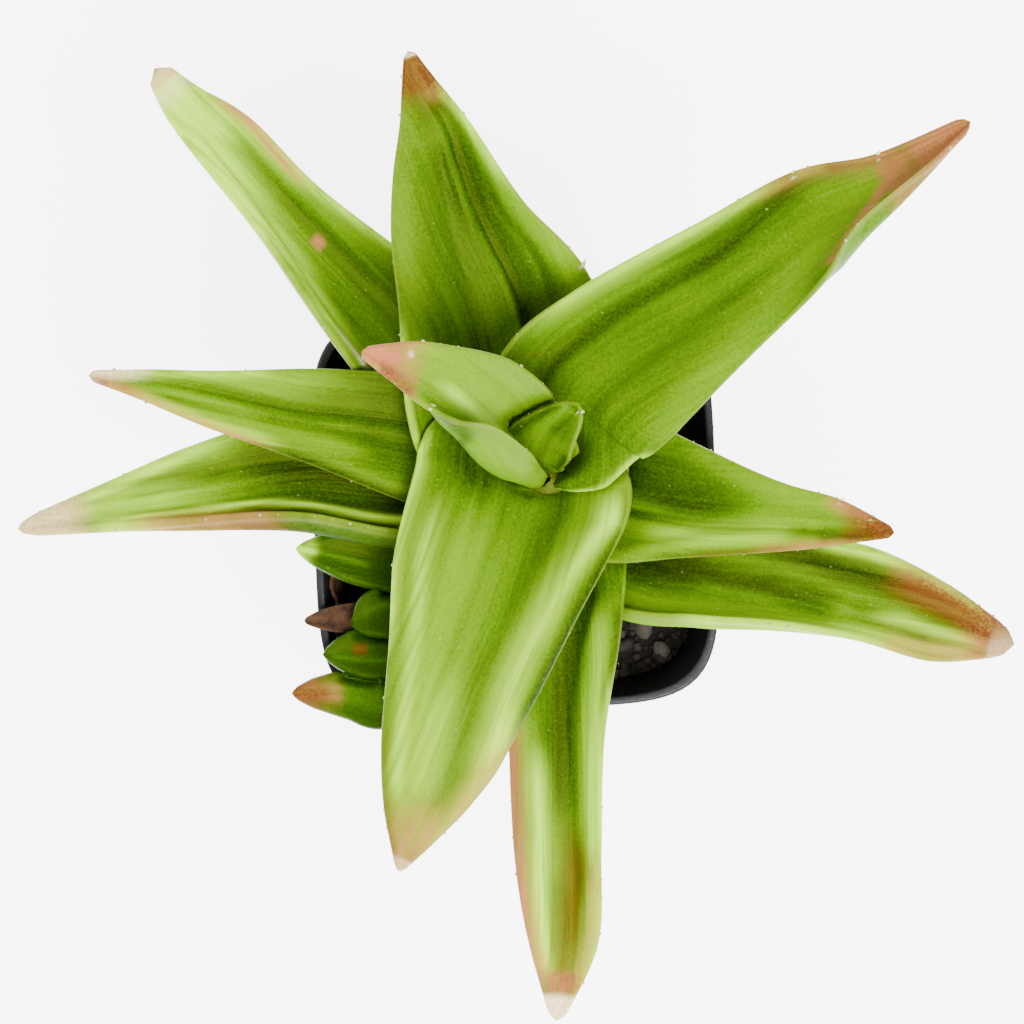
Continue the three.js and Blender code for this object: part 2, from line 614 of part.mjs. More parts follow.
plant.add(meshOf('stem', stemSolid(0), SURFACES.stem));
for (const [name, leaf] of Object.entries(LEAVES)) {
  let solid = leaf.teeth.reduce((blade, tooth) => blade.add(leafTooth(leaf, tooth)), leafBlade(leaf));
  solid = mainBody(cutters.reduce((body, cutter) => body.subtract(cutter), solid));
  cutters.push(leafBlade(leaf, LEAF_GAP));
  plant.add(meshOf(name, solid, OUTER_LEAVES.includes(name) ? SURFACES.outerLeaf : SURFACES.leaf));
}

const shoot = shootSolid(cutters);
plant.add(meshOf('offset_shoot', shoot, SURFACES.offset));
const dryLeaf = smallLeaf(DRY_LEAF, DRY_LEAF_THICKNESS, DRY_LEAF_WING);
const shootCutters = SHOOT_LEAVES.map((rows) => (
  leafBlade(smallLeaf(rows, SHOOT_LEAF_THICKNESS, SHOOT_LEAF_WING), LEAF_GAP)
));
shootCutters.push(shootStem(CLEARANCE));
const dryLeafSolid = [...shootCutters, ...cutters].reduce(
  (body, cutter) => body.subtract(cutter),
  leafBlade(dryLeaf),
);
plant.add(meshOf('dry_leaf', mainBody(dryLeafSolid), SURFACES.dry));

const potGroup = new THREE.Group();
potGroup.rotation.z = POT_TURN;
potGroup.add(meshOf('pot', potSolid(), SURFACES.pot));
potGroup.add(meshOf('dry_strip', dryStripSolid(), SURFACES.dry));
plant.add(potGroup);

// The soil is cut in the plant's own frame, then turned with the pot
const turnBack = (solid) => solid.rotate([0, 0, THREE.MathUtils.radToDeg(-POT_TURN)]);
const soilHoles = [stemCutter, shootStem(CLEARANCE)].map(turnBack);
potGroup.add(meshOf('soil', soilSolid(soilHoles), SURFACES.soil));

export default plant;
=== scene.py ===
"""A potted rosette succulent: the finish of its leaves, stem, offset shoot, soil and square pot.

Sizes are in millimetres in the tables below and become metres where a mesh is made. The plant stands
on the origin with +Z up; +X is to the right and +Y away from the reader in a plan of the plant.
"""

import logging
import math
from dataclasses import dataclass, field
from enum import Enum
from typing import Any, Callable, ClassVar, Sequence

import bpy
import numpy as np
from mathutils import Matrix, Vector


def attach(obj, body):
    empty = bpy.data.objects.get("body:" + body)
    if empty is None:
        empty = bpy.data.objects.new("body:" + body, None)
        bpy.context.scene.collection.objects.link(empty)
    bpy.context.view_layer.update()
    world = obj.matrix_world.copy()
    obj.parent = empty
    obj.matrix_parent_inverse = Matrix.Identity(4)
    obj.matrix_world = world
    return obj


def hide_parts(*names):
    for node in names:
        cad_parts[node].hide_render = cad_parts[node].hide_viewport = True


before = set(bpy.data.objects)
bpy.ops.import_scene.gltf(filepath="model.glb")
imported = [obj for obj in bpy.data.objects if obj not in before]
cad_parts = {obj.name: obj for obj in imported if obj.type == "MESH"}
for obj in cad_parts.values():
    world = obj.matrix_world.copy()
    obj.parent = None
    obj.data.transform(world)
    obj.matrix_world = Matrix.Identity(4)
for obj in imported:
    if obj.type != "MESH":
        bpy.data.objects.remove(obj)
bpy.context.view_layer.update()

log = logging.getLogger("potted_succulent")

MM = 0.001
BODY = "root"

Triple = tuple[float, float, float]
Spot = tuple[float, float]
Colour = tuple[float, float, float]


# Tables of the plant


class Tint(Enum):
    """What a soft stroke on a leaf lays on its skin: its own blush, brown and cream; pale streaks, partly its
    own and partly painted highlight; painted shade; and painted highlight.
    """

    PALE = "pale"
    CREAM = "cream"
    BLUSH = "blush"
    BROWN = "brown"
    # Painted shade: darker green in valleys, at leaf bases under the leaves above and on flanks turned from
    # the light.
    DEEP = "deep"
    # Painted highlight: lighter green on ridges, rolled margins and lit wings.
    SHINE = "shine"


PALE, CREAM, BLUSH, BROWN, DEEP, SHINE = Tint


@dataclass(frozen=True)
class Station:
    """One section of a leaf: its trough, then for each half the width and two slopes in degrees."""

    at: Triple
    left: Triple
    right: Triple


@dataclass(frozen=True)
class Stroke:
    """A soft line that runs along a blade's upper face.

    Its path holds (along, across) pairs: along runs from 0 at the base to 1 at the tip, and across
    from -1 at the left margin to 1 at the right one. It fades out over a width in millimetres on its
    left and on its right, and over a share of the leaf's length at its ends.
    """

    path: tuple[Spot, ...]
    widths: Spot
    strength: float
    tint: Tint = Tint.DEEP
    fade: float = 0.08


@dataclass(frozen=True)
class Spine:
    """A soft tooth on a margin: its place along the leaf, its side and its length in millimetres."""

    along: float
    side: int
    length: float


@dataclass(frozen=True)
class LeafPlan:
    """The form of one leaf and the strokes on its skin, its own colours as well as painted shade and
    highlights.
    """

    name: str
    node: str
    thickness: float
    stations: tuple[Station, ...]
    margin: float = 0.9
    folds: tuple[Stroke, ...] = ()
    marks: tuple[Stroke, ...] = ()
    spines: tuple[Spine, ...] = ()
    slot: str = "leaf"
    tone: float = 0.0


def both(widths: float | Spot) -> Spot:
    """The widths to the left and to the right, which one number gives where they are the same."""
    return widths if isinstance(widths, tuple) else (widths, widths)


def mark(tint: Tint, widths: float | Spot, strength: float, *path: Spot, fade: float = Stroke.fade) -> Stroke:
    """A soft stroke of one tint along a path on the blade; the tints include painted shade and painted
    highlight.
    """
    return Stroke(path, both(widths), strength, tint, fade)


def fold(height: float, widths: float | Spot, *path: Spot) -> Stroke:
    """A groove, or a swelling where the height is positive, along a path on the blade."""
    return Stroke(path, both(widths), height)


# In each leaf's marks, the darkening strokes are painted shade in valleys, at bases under the leaves above
# and on flanks turned from the light; the shine strokes are painted highlights on ridges, rolled margins and
# lit wings, and many pale strokes along ridges and margins are painted highlights too.
ROSETTE: tuple[LeafPlan, ...] = (
    LeafPlan(
        name="bud_leaf",
        node="leaf_bud",
        thickness=1.8,
        stations=(
            Station((4.6, 5.2, 65.2), (2, 20, 20), (2, 20, 20)),
            Station((3, 6.5, 69), (3.6, 15, 12), (3.2, 15, 12)),
            Station((3.5, 8.8, 73), (4.6, 14, 10), (4.2, 14, 10)),
            Station((5.3, 11.1, 77), (3.4, 12, 8), (3.2, 12, 8)),
            Station((7.2, 12.9, 80.5), (2, 10, 8), (1.9, 10, 8)),
            Station((8.5, 14.2, 82.5), (0.3, 10, 10), (0.3, 10, 10)),
        ),
        folds=(
            fold(-0.25, 0.8, (0.3, 0.1), (0.9, 0)),
        ),
        marks=(
            mark(DEEP, (1.1, 0.5), 0.4, (0.25, 0.1), (0.6, 0.15), (0.8, 0.4)),
            mark(SHINE, 1.4, 0.3, (0.55, -0.3), (0.72, -0.3), (0.85, 0.1)),
            mark(DEEP, 0.8, 0.6, (0.44, -1), (0.8, -1)),
            mark(DEEP, 0.8, 0.8, (0.1, 1), (0.42, 1)),
            mark(SHINE, 2.2, 0.5, (0.15, 0.2), (0.5, 0.2), fade=0.1),
            mark(DEEP, 0.8, 0.7, (0.44, -0.85), (0.6, -0.85), (0.74, -0.9)),
        ),
        spines=(
            Spine(0.9, 1, 0.8),
        ),
        tone=0.1,
    ),
    LeafPlan(
        name="inner_leaf",
        node="leaf_inner",
        thickness=3.2,
        stations=(
            Station((5.2, 5.5, 65.5), (0.7, 50, 95), (3.4, 50, 50)),
            Station((3, 7.4, 71.5), (2.4, 54, 160), (4.7, 45, 50)),
            Station((-2, 10.3, 79.5), (2.6, 103, 165), (7.8, 38, 35)),
            Station((-6.5, 14.3, 87.5), (2.4, 92, 142), (7.4, 30, 20)),
            Station((-12.1, 18.3, 94), (3.8, 29, 3), (3.7, 24, 10)),
            Station((-17, 19.5, 97), (1.5, 30, 10), (2, 20, 10)),
            Station((-20, 20.5, 98.5), (0.3, 10, 10), (0.3, 10, 10)),
        ),
        folds=(
            fold(-0.35, 0.7, (0.38, -0.35), (0.49, -0.45), (0.6, -0.75)),
        ),
        marks=(
            mark(SHINE, (6, 7), 0.7, (0.42, 0.4), (0.56, 0.45), (0.74, 0.4), fade=0.1),
            mark(SHINE, (1.6, 1.2), 1, (0.34, -0.05), (0.44, -0.02), (0.54, 0), (0.6, -0.1)),
            mark(PALE, (1, 0.7), 0.45, (0.34, -0.04), (0.44, -0.02), (0.54, 0)),
            mark(SHINE, 2.4, 0.35, (0.12, -0.7), (0.3, -0.7), (0.44, -0.65), fade=0.1),
            mark(SHINE, 5, 0.8, (0.24, 0.4), (0.32, 0.5), fade=0.03),
            mark(DEEP, (0.8, 1), 0.9, (0.38, -0.3), (0.46, -0.42), (0.51, -0.75), (0.56, -1)),
            mark(BLUSH, (3, 5), 0.6, (0.72, -0.95), (0.8, -0.7)),
            mark(BLUSH, 9, 0.9, (0.82, -0.3), (0.88, -0.1), (0.95, -0.3), fade=0.16),
            mark(BROWN, (0.7, 1.2), 0.6, (0.7, -1), (0.84, -1), fade=0.05),
            mark(PALE, 2, 0.3, (0.84, -0.9), (0.88, -0.7), fade=0.03),
            mark(CREAM, 0.4, 0.6, (0.735, 0.45), (0.75, 0.6), fade=0.01),
            mark(BROWN, 0.3, 0.5, (0.436, 0.36), (0.438, 0.5), fade=0.004),
            mark(BROWN, 0.5, 0.8, (0.1, -0.98), (0.13, -0.98), fade=0.02),
        ),
        spines=(
            Spine(0.61, -1, 0.9),
        ),
        tone=0.14,
    ),
    LeafPlan(
        name="upper_right_leaf",
        node="leaf_upper_right",
        thickness=4.2,
        stations=(
            Station((2.5, 4, 66), (5, 50, 60), (4.5, 10, 0)),
            Station((3, 9, 68), (6, 60, 60), (11.5, 18, -5)),
            Station((4.5, 18.5, 72), (6, 62, 60), (17.5, 18, -10)),
            Station((12, 25.5, 75.5), (5.4, 58, 30), (18.2, 16, -20)),
            Station((28, 34, 83), (5.4, 50, 20), (12.4, 20, 0)),
            Station((39.5, 42, 89), (3.5, 45, 20), (9.2, 30, 95)),
            Station((49, 45.5, 93), (1.4, 40, 40), (4.4, 45, 125)),
            Station((60, 51, 97), (0.3, 30, 40), (0.3, 40, 60)),
        ),
        folds=(
            fold(-0.4, (1.6, 0.8), (0.22, -0.05), (0.5, 0), (0.62, -0.15), (0.7, -0.3), (0.78, -0.5)),
            fold(-0.25, 0.9, (0.3, 0.45), (0.55, 0.4), (0.72, 0.35)),
        ),
        marks=(
            mark(DEEP, (2.4, 0.7), 0.68, (0.28, 0.02), (0.4, 0.04), (0.5, 0), (0.58, -0.08), (0.64, -0.2),
                 (0.7, -0.35), (0.76, -0.5), fade=0.07),
            mark(DEEP, (4.5, 3), 0.45, (0.55, -0.35), (0.62, -0.55), (0.7, -0.72), (0.78, -0.9), fade=0.07),
            mark(SHINE, (3, 2.2), 0.85, (0.4, -0.85), (0.48, -0.8), (0.54, -0.85), (0.6, -0.98), fade=0.1),
            mark(SHINE, 2.4, 0.5, (0.42, -0.5), (0.51, -0.48), fade=0.09),
            mark(SHINE, (3.5, 4), 0.5, (0.46, 0.9), (0.6, 0.8), (0.7, 0.55), (0.8, 0.25), fade=0.1),
            mark(SHINE, 3.5, 0.45, (0.75, -0.1), (0.82, -0.2), fade=0.07),
            mark(PALE, 0.8, 0.5, (0.44, -1), (0.56, -1), (0.66, -1)),
            mark(PALE, 1, 0.25, (0.72, -1), (0.76, -0.9), fade=0.02),
            mark(PALE, 0.5, 0.6, (0.05, 1), (0.3, 1)),
            mark(BROWN, 0.25, 0.7, (0.305, -0.42), (0.315, -0.25), fade=0.006),
            mark(BROWN, 0.25, 0.6, (0.3, -0.66), (0.306, -0.5), fade=0.006),
            mark(BLUSH, 1.8, 0.35, (0.71, -1), (0.79, -0.95), (0.85, -0.8)),
            mark(BROWN, 1.2, 0.35, (0.7, -1), (0.8, -0.98), (0.88, -0.9)),
            mark(BLUSH, 8, 0.65, (0.865, -0.5), (0.89, -0.2), fade=0.03),
            mark(BROWN, 8, 0.25, (0.86, -0.5), (0.88, 0.2), fade=0.03),
            mark(BLUSH, 0.8, 0.8, (0.7, 0.8), (0.76, 0.68), (0.82, 0.5), (0.88, 0.2), fade=0.02),
            mark(BLUSH, 6, 0.8, (0.92, 0), (1, 0), fade=0.03),
            mark(BROWN, 2, 0.45, (0.9, 0.2), (0.94, 0.3), (1, 0.2), fade=0.02),
            mark(BROWN, 6, 0.35, (0.875, 0), (1, 0), fade=0.02),
        ),
        spines=(
            Spine(0.72, -1, 1), Spine(0.86, -1, 1.2),
        ),
        tone=0.04,
    ),
    LeafPlan(
        name="front_leaf",
        node="leaf_front",
        thickness=4.4,
        stations=(
            Station((6, 9, 63), (8.5, 30, 30), (15, 26, 20)),
            Station((5.3, 5, 64.5), (10.5, 30, 20), (18.5, 24, 10)),
            Station((4.5, -1, 66.5), (10.6, 34, 0), (19.5, 22, -5)),
            Station((0.5, -14.5, 71.5), (7.8, 40, -30), (18.8, 16, -25)),
            Station((-5, -27, 74), (6.9, 40, -40), (13.8, 14, -30)),
            Station((-9.5, -38.5, 73.5), (4.7, 30, -30), (9.9, 14, -20)),
            Station((-13, -45.5, 72), (2.4, 20, -10), (5.8, 14, -10)),
            Station((-16.5, -51.5, 70.5), (0.3, 10, 0), (0.3, 10, 0)),
        ),
        folds=(
            fold(-0.7, (1.4, 2.4), (0.26, -0.15), (0.34, -0.05), (0.42, 0), (0.51, 0.02), (0.63, 0.02),
                 (0.78, -0.05)),
            fold(0.9, (2, 2.4), (0.14, -0.97), (0.28, -0.85), (0.36, -0.66), (0.46, -0.5), (0.56, -0.52),
                 (0.66, -0.7)),
            fold(-0.3, 0.8, (0.2, 0.25), (0.4, 0.35), (0.56, 0.42)),
            fold(-0.25, 0.8, (0.22, 0.6), (0.42, 0.66), (0.6, 0.66)),
        ),
        marks=(
            mark(SHINE, (1.8, 4.2), 1, (0.2, -0.95), (0.28, -0.85), (0.34, -0.7), (0.4, -0.55),
                 (0.48, -0.45), (0.55, -0.48), (0.62, -0.65), (0.72, -0.72), (0.84, -0.7), fade=0.1),
            mark(PALE, (1.3, 2.4), 1, (0.28, -0.83), (0.34, -0.68), (0.4, -0.55), (0.48, -0.48),
                 (0.55, -0.52), (0.62, -0.7), fade=0.09),
            mark(DEEP, (1.6, 1.2), 1, (0.22, -1), (0.36, -1), (0.53, -1)),
            mark(DEEP, (0.6, 1.8), 0.35, (0.25, -0.02), (0.45, 0.02), (0.62, 0), (0.74, -0.15),
                 (0.82, -0.2)),
            mark(DEEP, 5, 0.85, (0.12, 0.75), (0.2, 0.65), (0.25, 0.55), fade=0.09),
            mark(SHINE, (5.5, 4), 0.75, (0.4, 0.55), (0.55, 0.6), (0.68, 0.5), (0.8, 0.5), fade=0.12),
            mark(PALE, 1.2, 0.45, (0.4, 0.8), (0.5, 0.76), (0.62, 0.75), (0.74, 0.75), fade=0.1),
            mark(PALE, 2.5, 0.22, (0.62, 0.35), (0.72, 0.35), fade=0.1),
            mark(SHINE, 1.2, 0.6, (0.28, 0.97), (0.38, 0.95), (0.48, 0.95)),
            mark(PALE, 0.7, 0.7, (0.2, 1), (0.3, 1), (0.4, 1), (0.5, 1)),
            mark(SHINE, 9, 0.35, (0.72, 0), (1, 0), fade=0.12),
            mark(BLUSH, 6, 0.55, (0.86, -0.3), (0.93, 0), (1, 0.2), fade=0.12),
            mark(BLUSH, 2.5, 0.5, (0.66, -1), (0.76, -0.9), (0.86, -0.8), fade=0.09),
            mark(PALE, 1.6, 0.4, (0.66, -0.85), (0.76, -0.8), (0.88, -0.6)),
            mark(BROWN, 0.9, 0.4, (0.7, 1), (0.8, 1), (0.97, 1)),
            mark(CREAM, 2.5, 0.4, (0.975, -0.9), (1, -0.2), fade=0.02),
        ),
        tone=0.14,
    ),
    LeafPlan(
        name="top_leaf",
        node="leaf_top",
        thickness=4,
        stations=(
            Station((7, -2, 62), (8.5, 40, 40), (8.5, 40, 40)),
            Station((4.5, 12.5, 64.5), (18.5, 20, 10), (11.5, 26, 20)),
            Station((0.5, 29, 70), (17.5, 22, 5), (10.4, 34, 20)),
            Station((-5, 40.5, 75.5), (12.9, 20, 0), (6.3, 34, 20)),
            Station((-9, 51.5, 81), (7.9, 18, 10), (2.9, 30, 20)),
            Station((-12.5, 57.5, 84), (3, 15, 10), (1.6, 20, 20)),
            Station((-14.5, 62, 86), (0.3, 10, 10), (0.3, 10, 10)),
        ),
        folds=(
            fold(-0.8, (0.5, 3.2), (0.26, 0.05), (0.4, 0), (0.51, -0.02), (0.62, -0.05), (0.72, 0.08)),
            fold(0.4, (0.8, 0.4), (0.3, -0.05), (0.51, -0.08), (0.62, -0.12)),
            fold(-0.35, (0.6, 1), (0.32, 0.42), (0.42, 0.48), (0.52, 0.42)),
            fold(-0.35, 1.2, (0.3, -0.35), (0.5, -0.3), (0.6, -0.26)),
        ),
        marks=(
            mark(DEEP, (0.6, 4), 0.85, (0.26, 0), (0.4, 0), (0.5, -0.02), (0.6, 0), (0.66, 0.1),
                 (0.74, 0.25)),
            mark(DEEP, (4.5, 3), 0.5, (0.26, -0.35), (0.38, -0.32), (0.5, -0.25), (0.6, -0.1), fade=0.1),
            mark(DEEP, (5, 6), 0.5, (0.36, 0), (0.46, 0), (0.54, 0.05), fade=0.12),
            mark(PALE, 0.5, 0.5, (0.1, -1), (0.34, -1)),
            mark(SHINE, 2.5, 0.35, (0.36, -0.92), (0.5, -0.9), (0.7, -0.85), (0.8, -0.9)),
            mark(SHINE, (2.4, 2.2), 1, (0.34, 0.88), (0.44, 0.9), (0.56, 0.97), (0.7, 0.97), fade=0.1),
            mark(SHINE, 0.35, 0.5, (0.3, -0.04), (0.45, -0.06), (0.6, -0.1)),
            mark(BLUSH, 2, 0.4, (0.82, 0.7), (0.86, 0.6), (0.94, 0.8)),
            mark(BROWN, 3, 0.5, (0.8, 0.5), (0.86, 0.3), (0.92, 0), fade=0.1),
            mark(PALE, 0.8, 0.6, (0.6, 1), (0.7, 0.97), (0.78, 0.9)),
            mark(DEEP, 5, 0.5, (0.76, 0.2), (0.9, 0), fade=0.12),
            mark(BROWN, 7, 1, (0.88, 0), (1, 0), fade=0.12),
            mark(CREAM, 2, 0.5, (0.99, 0), (1, 0), fade=0.01),
        ),
        spines=(
            Spine(0.36, 1, 1.6),
        ),
        tone=0.03,
    ),
    LeafPlan(
        name="right_leaf",
        node="leaf_right",
        thickness=4,
        stations=(
            Station((-1.5, 4, 60.5), (8, 40, 40), (7.5, 40, 40)),
            Station((12.5, 0.5, 62.5), (13, 30, 20), (8, 34, 10)),
            Station((25.5, -2, 66), (10.6, 24, -10), (5, 34, -20)),
            Station((37.5, -2.5, 70), (5.7, 20, 0), (3.5, 34, -10)),
            Station((45.5, -3, 72.5), (3.8, 20, 0), (2, 24, 0)),
            Station((53, -3.5, 74.5), (0.3, 10, 10), (0.3, 10, 10)),
        ),
        folds=(
            fold(-0.5, 0.8, (0.2, 0.02), (0.44, 0), (0.6, 0.02), (0.74, 0.18), (0.86, 0.25)),
            fold(0.5, (1.4, 1.2), (0.28, 0.9), (0.36, 0.75), (0.44, 0.55), (0.52, 0.45), (0.6, 0.5),
                 (0.7, 0.55)),
        ),
        marks=(
            mark(DEEP, (0.7, 0.8), 0.9, (0.24, 0.02), (0.44, 0), (0.6, 0.02), (0.74, 0.2), (0.86, 0.25)),
            mark(DEEP, (7, 2.5), 1, (0.18, -0.3), (0.28, -0.3), (0.36, -0.2), (0.42, -0.15), fade=0.16),
            mark(DEEP, 1.6, 0.8, (0.36, 1), (0.5, 1), (0.6, 1), (0.76, 1)),
            mark(PALE, 1.5, 0.5, (0.38, 0.45), (0.48, 0.42), (0.58, 0.4), fade=0.1),
            mark(SHINE, 2.2, 0.6, (0.42, -0.95), (0.5, -0.88), (0.62, -0.85), (0.8, -0.95)),
            mark(SHINE, (3.2, 3), 1, (0.34, 0.65), (0.44, 0.45), (0.52, 0.42), (0.6, 0.4), (0.7, 0.5),
                 fade=0.1),
            mark(BROWN, 0.6, 0.4, (0.46, 1), (0.6, 1)),
            mark(BLUSH, 0.9, 0.4, (0.6, 1), (0.85, 1)),
            mark(BLUSH, 1.6, 0.6, (0.8, -1), (0.9, -0.95), (1, -0.8)),
            mark(BROWN, 4, 0.7, (0.87, 0.15), (1, 0.25), fade=0.09),
            mark(BROWN, 3.5, 1, (0.93, 0.3), (1, 0.2), fade=0.09),
            mark(SHINE, 3, 0.5, (0.74, 0.6), (0.86, 0.6)),
        ),
        spines=(
            Spine(0.8, -1, 1), Spine(0.92, -1, 0.8),
        ),
        tone=0.12,
    ),
    LeafPlan(
        name="left_leaf",
        node="leaf_left",
        thickness=4,
        stations=(
            Station((11, 2.5, 60.5), (8, 40, 40), (8, 40, 40)),
            Station((-3.5, 9, 62), (11.5, 30, 0), (9.5, 30, 30)),
            Station((-17, 12.5, 65), (10.5, 30, -20), (6.5, 24, 10)),
            Station((-30.5, 14, 68.5), (6.9, 30, -30), (5.5, 20, 0)),
            Station((-43, 16.5, 72), (4.9, 24, -20), (2.5, 18, 0)),
            Station((-52, 18, 74), (2.6, 20, 0), (1, 18, 10)),
            Station((-59.5, 18.5, 75.5), (0.3, 10, 10), (0.3, 10, 10)),
        ),
        folds=(
            fold(-0.5, (0.9, 0.7), (0.28, 0), (0.46, 0), (0.6, 0), (0.75, 0), (0.88, -0.05)),
            fold(-0.3, (0.6, 0.9), (0.32, -0.28), (0.46, -0.28), (0.54, -0.33), (0.62, -0.36),
                 (0.75, -0.45)),
        ),
        marks=(
            mark(DEEP, (0.9, 1.2), 1, (0.28, 0), (0.44, 0), (0.56, 0), (0.68, 0), (0.82, 0)),
            mark(DEEP, 0.6, 0.5, (0.32, -0.28), (0.46, -0.26), (0.6, -0.3), (0.75, -0.45)),
            mark(DEEP, 9, 0.85, (0.26, 0), (0.36, 0.2), fade=0.12),
            mark(DEEP, (1.4, 1.2), 1, (0.28, -1), (0.57, -1)),
            mark(DEEP, (3, 4), 0.55, (0.34, 0), (0.42, 0.15), (0.48, 0.1), fade=0.14),
            mark(SHINE, (1.6, 1.4), 0.9, (0.42, -0.55), (0.5, -0.52), (0.6, -0.62), (0.7, -0.75),
                 (0.8, -0.9)),
            mark(SHINE, 4, 0.75, (0.52, 0.75), (0.66, 0.75), (0.8, 0.6), (0.9, 0.4), fade=0.1),
            mark(SHINE, 1.5, 0.9, (0.6, -0.4), (0.72, -0.32), (0.82, -0.28)),
            mark(CREAM, 0.9, 0.6, (0.88, 1), (0.99, 1)),
            mark(PALE, 0.7, 0.5, (0.62, 1), (0.8, 0.95)),
            mark(PALE, 0.9, 0.5, (0.58, -0.85), (0.66, -0.95), (0.82, -1)),
            mark(BLUSH, 0.9, 0.6, (0.6, -1), (0.75, -1), (0.95, -0.9)),
            mark(BLUSH, 6, 0.65, (0.95, 0), (1, 0), fade=0.07),
            mark(BROWN, 4, 0.8, (0.96, 0), (1, 0), fade=0.02),
        ),
        tone=0.12,
    ),
    LeafPlan(
        name="lower_front_leaf",
        node="leaf_lower_front",
        thickness=4,
        stations=(
            Station((4.5, 8.5, 58), (7.5, 40, 40), (7.5, 40, 40)),
            Station((5.5, -5, 59.5), (10, 30, 30), (8.5, 30, 10)),
            Station((7, -18, 61.5), (8, 40, 0), (8.5, 30, -10)),
            Station((7.5, -33.5, 62.5), (5.1, 50, -10), (8.2, 30, -20)),
            Station((7.5, -50, 61.5), (4.6, 45, 0), (7.3, 30, -10)),
            Station((7.5, -63, 60), (4.1, 35, 20), (5.1, 30, 10)),
            Station((6.1, -74.5, 58.5), (0.8, 20, 20), (0.6, 20, 20)),
        ),
        folds=(
            fold(-0.6, (0.8, 3), (0.28, -0.45), (0.38, -0.15), (0.48, 0), (0.6, -0.1), (0.72, -0.25)),
            fold(0.3, 0.8, (0.45, 0.5), (0.6, 0.5), (0.85, 0.55)),
        ),
        marks=(
            mark(SHINE, (2, 2.6), 1, (0.34, -0.72), (0.4, -0.66), (0.5, -0.62), (0.6, -0.65), (0.7, -0.85),
                 (0.84, -0.95), fade=0.1),
            mark(DEEP, 1.2, 0.8, (0.32, -1), (0.44, -1), fade=0.03),
            mark(DEEP, (2.4, 2.6), 1, (0.28, -0.45), (0.36, -0.15), (0.44, 0), (0.52, 0.05), (0.58, 0.05)),
            mark(PALE, 1.3, 0.7, (0.36, -0.62), (0.46, -0.65), (0.56, -0.75), (0.64, -0.85)),
            mark(PALE, (1.4, 1.6), 0.8, (0.57, 0.52), (0.64, 0.5), (0.74, 0.58), (0.88, 0.7)),
            mark(SHINE, (1.6, 2.4), 0.6, (0.5, 0.65), (0.6, 0.3), (0.68, 0.25), fade=0.07),
            mark(DEEP, 0.3, 0.5, (0.6, 0.66), (0.74, 0.7), (0.86, 0.8)),
            mark(BLUSH, 1.6, 0.7, (0.48, 1), (0.7, 1), (0.92, 1)),
            mark(PALE, 0.8, 0.6, (0.46, -1), (0.58, -1), (0.7, -1)),
            mark(BLUSH, 1.2, 0.5, (0.72, -0.9), (0.92, -0.8)),
            mark(PALE, 1.8, 0.8, (0.76, -0.95), (0.84, -0.95), (0.9, -0.95)),
            mark(BROWN, 2.6, 0.55, (0.69, -0.3), (0.78, -0.15), (0.9, -0.1), fade=0.09),
            mark(DEEP, 2, 0.5, (0.68, -0.2), (0.8, -0.1)),
            mark(BLUSH, 5, 0.8, (0.91, 0), (0.94, 0), fade=0.02),
            mark(BROWN, 5, 0.35, (0.9, 0), (0.94, 0), fade=0.02),
            mark(CREAM, 5, 1, (0.965, 0), (1, 0), fade=0.02),
        ),
        slot="outer_leaf",
        tone=0.08,
    ),
    LeafPlan(
        name="upper_left_leaf",
        node="leaf_upper_left",
        thickness=4,
        stations=(
            Station((8, 1, 56.5), (7.5, 40, 40), (7.5, 40, 40)),
            Station((-6, 15, 59), (10, 40, 40), (9.5, 40, 40)),
            Station((-20.5, 29.5, 63), (7.5, 50, 60), (7.8, 40, 50)),
            Station((-32.5, 42, 67), (4.5, 45, 60), (5.1, 35, 50)),
            Station((-41.5, 51.5, 70), (3.5, 40, 40), (4.9, 30, 20)),
            Station((-47, 57, 71.5), (2.5, 25, 20), (3, 20, 10)),
            Station((-50.3, 61.2, 72.5), (1.4, 10, 10), (1.4, 10, 10)),
        ),
        folds=(
            fold(0.6, 1.2, (0.34, -0.9), (0.45, -0.85), (0.6, -0.7), (0.72, -0.6)),
            fold(-0.35, 1.4, (0.32, 0.1), (0.48, 0.25), (0.66, 0.4)),
        ),
        marks=(
            mark(DEEP, 7, 0.25, (0.27, 0), (0.34, 0), fade=0.11),
            mark(DEEP, 1.2, 0.6, (0.38, 0.2), (0.48, 0.25), (0.56, 0.28)),
            mark(SHINE, (2.4, 2.8), 1, (0.36, -0.85), (0.44, -0.65), (0.52, -0.6), (0.6, -0.5), fade=0.1),
            mark(PALE, 1.8, 0.8, (0.37, -0.78), (0.44, -0.7), (0.54, -0.7), fade=0.07),
            mark(SHINE, 2.5, 0.6, (0.34, 0.9), (0.5, 0.7), (0.6, 0.6)),
            mark(PALE, 3, 1, (0.56, -0.88), (0.62, -0.7), (0.72, -0.55), (0.85, -0.5), (0.95, -0.3),
                 fade=0.12),
            mark(PALE, 5, 0.7, (0.72, 0), (0.85, 0.1), (0.95, 0), fade=0.12),
            mark(SHINE, (4, 3), 0.5, (0.56, 0.3), (0.68, 0.6), (0.84, 0.7)),
            mark(PALE, 1.6, 0.6, (0.56, 0.95), (0.66, 0.8), (0.76, 0.85)),
            mark(PALE, 0.9, 0.6, (0.4, 1), (0.5, 1), (0.64, 1)),
            mark(BLUSH, 0.9, 0.65, (0.57, 0.9), (0.65, 0.95), (0.73, 1)),
            mark(CREAM, 0.6, 0.5, (0.3, -0.85), (0.335, -0.85), fade=0.02),
            mark(BLUSH, 0.7, 1, (0.437, 0.05), (0.447, 0.05), fade=0.008),
            mark(CREAM, 6, 0.35, (0.92, -0.5), (1, 0), fade=0.1),
            mark(BLUSH, 6, 0.6, (0.965, 0), (1, 0), fade=0.02),
        ),
        slot="outer_leaf",
        tone=0.06,
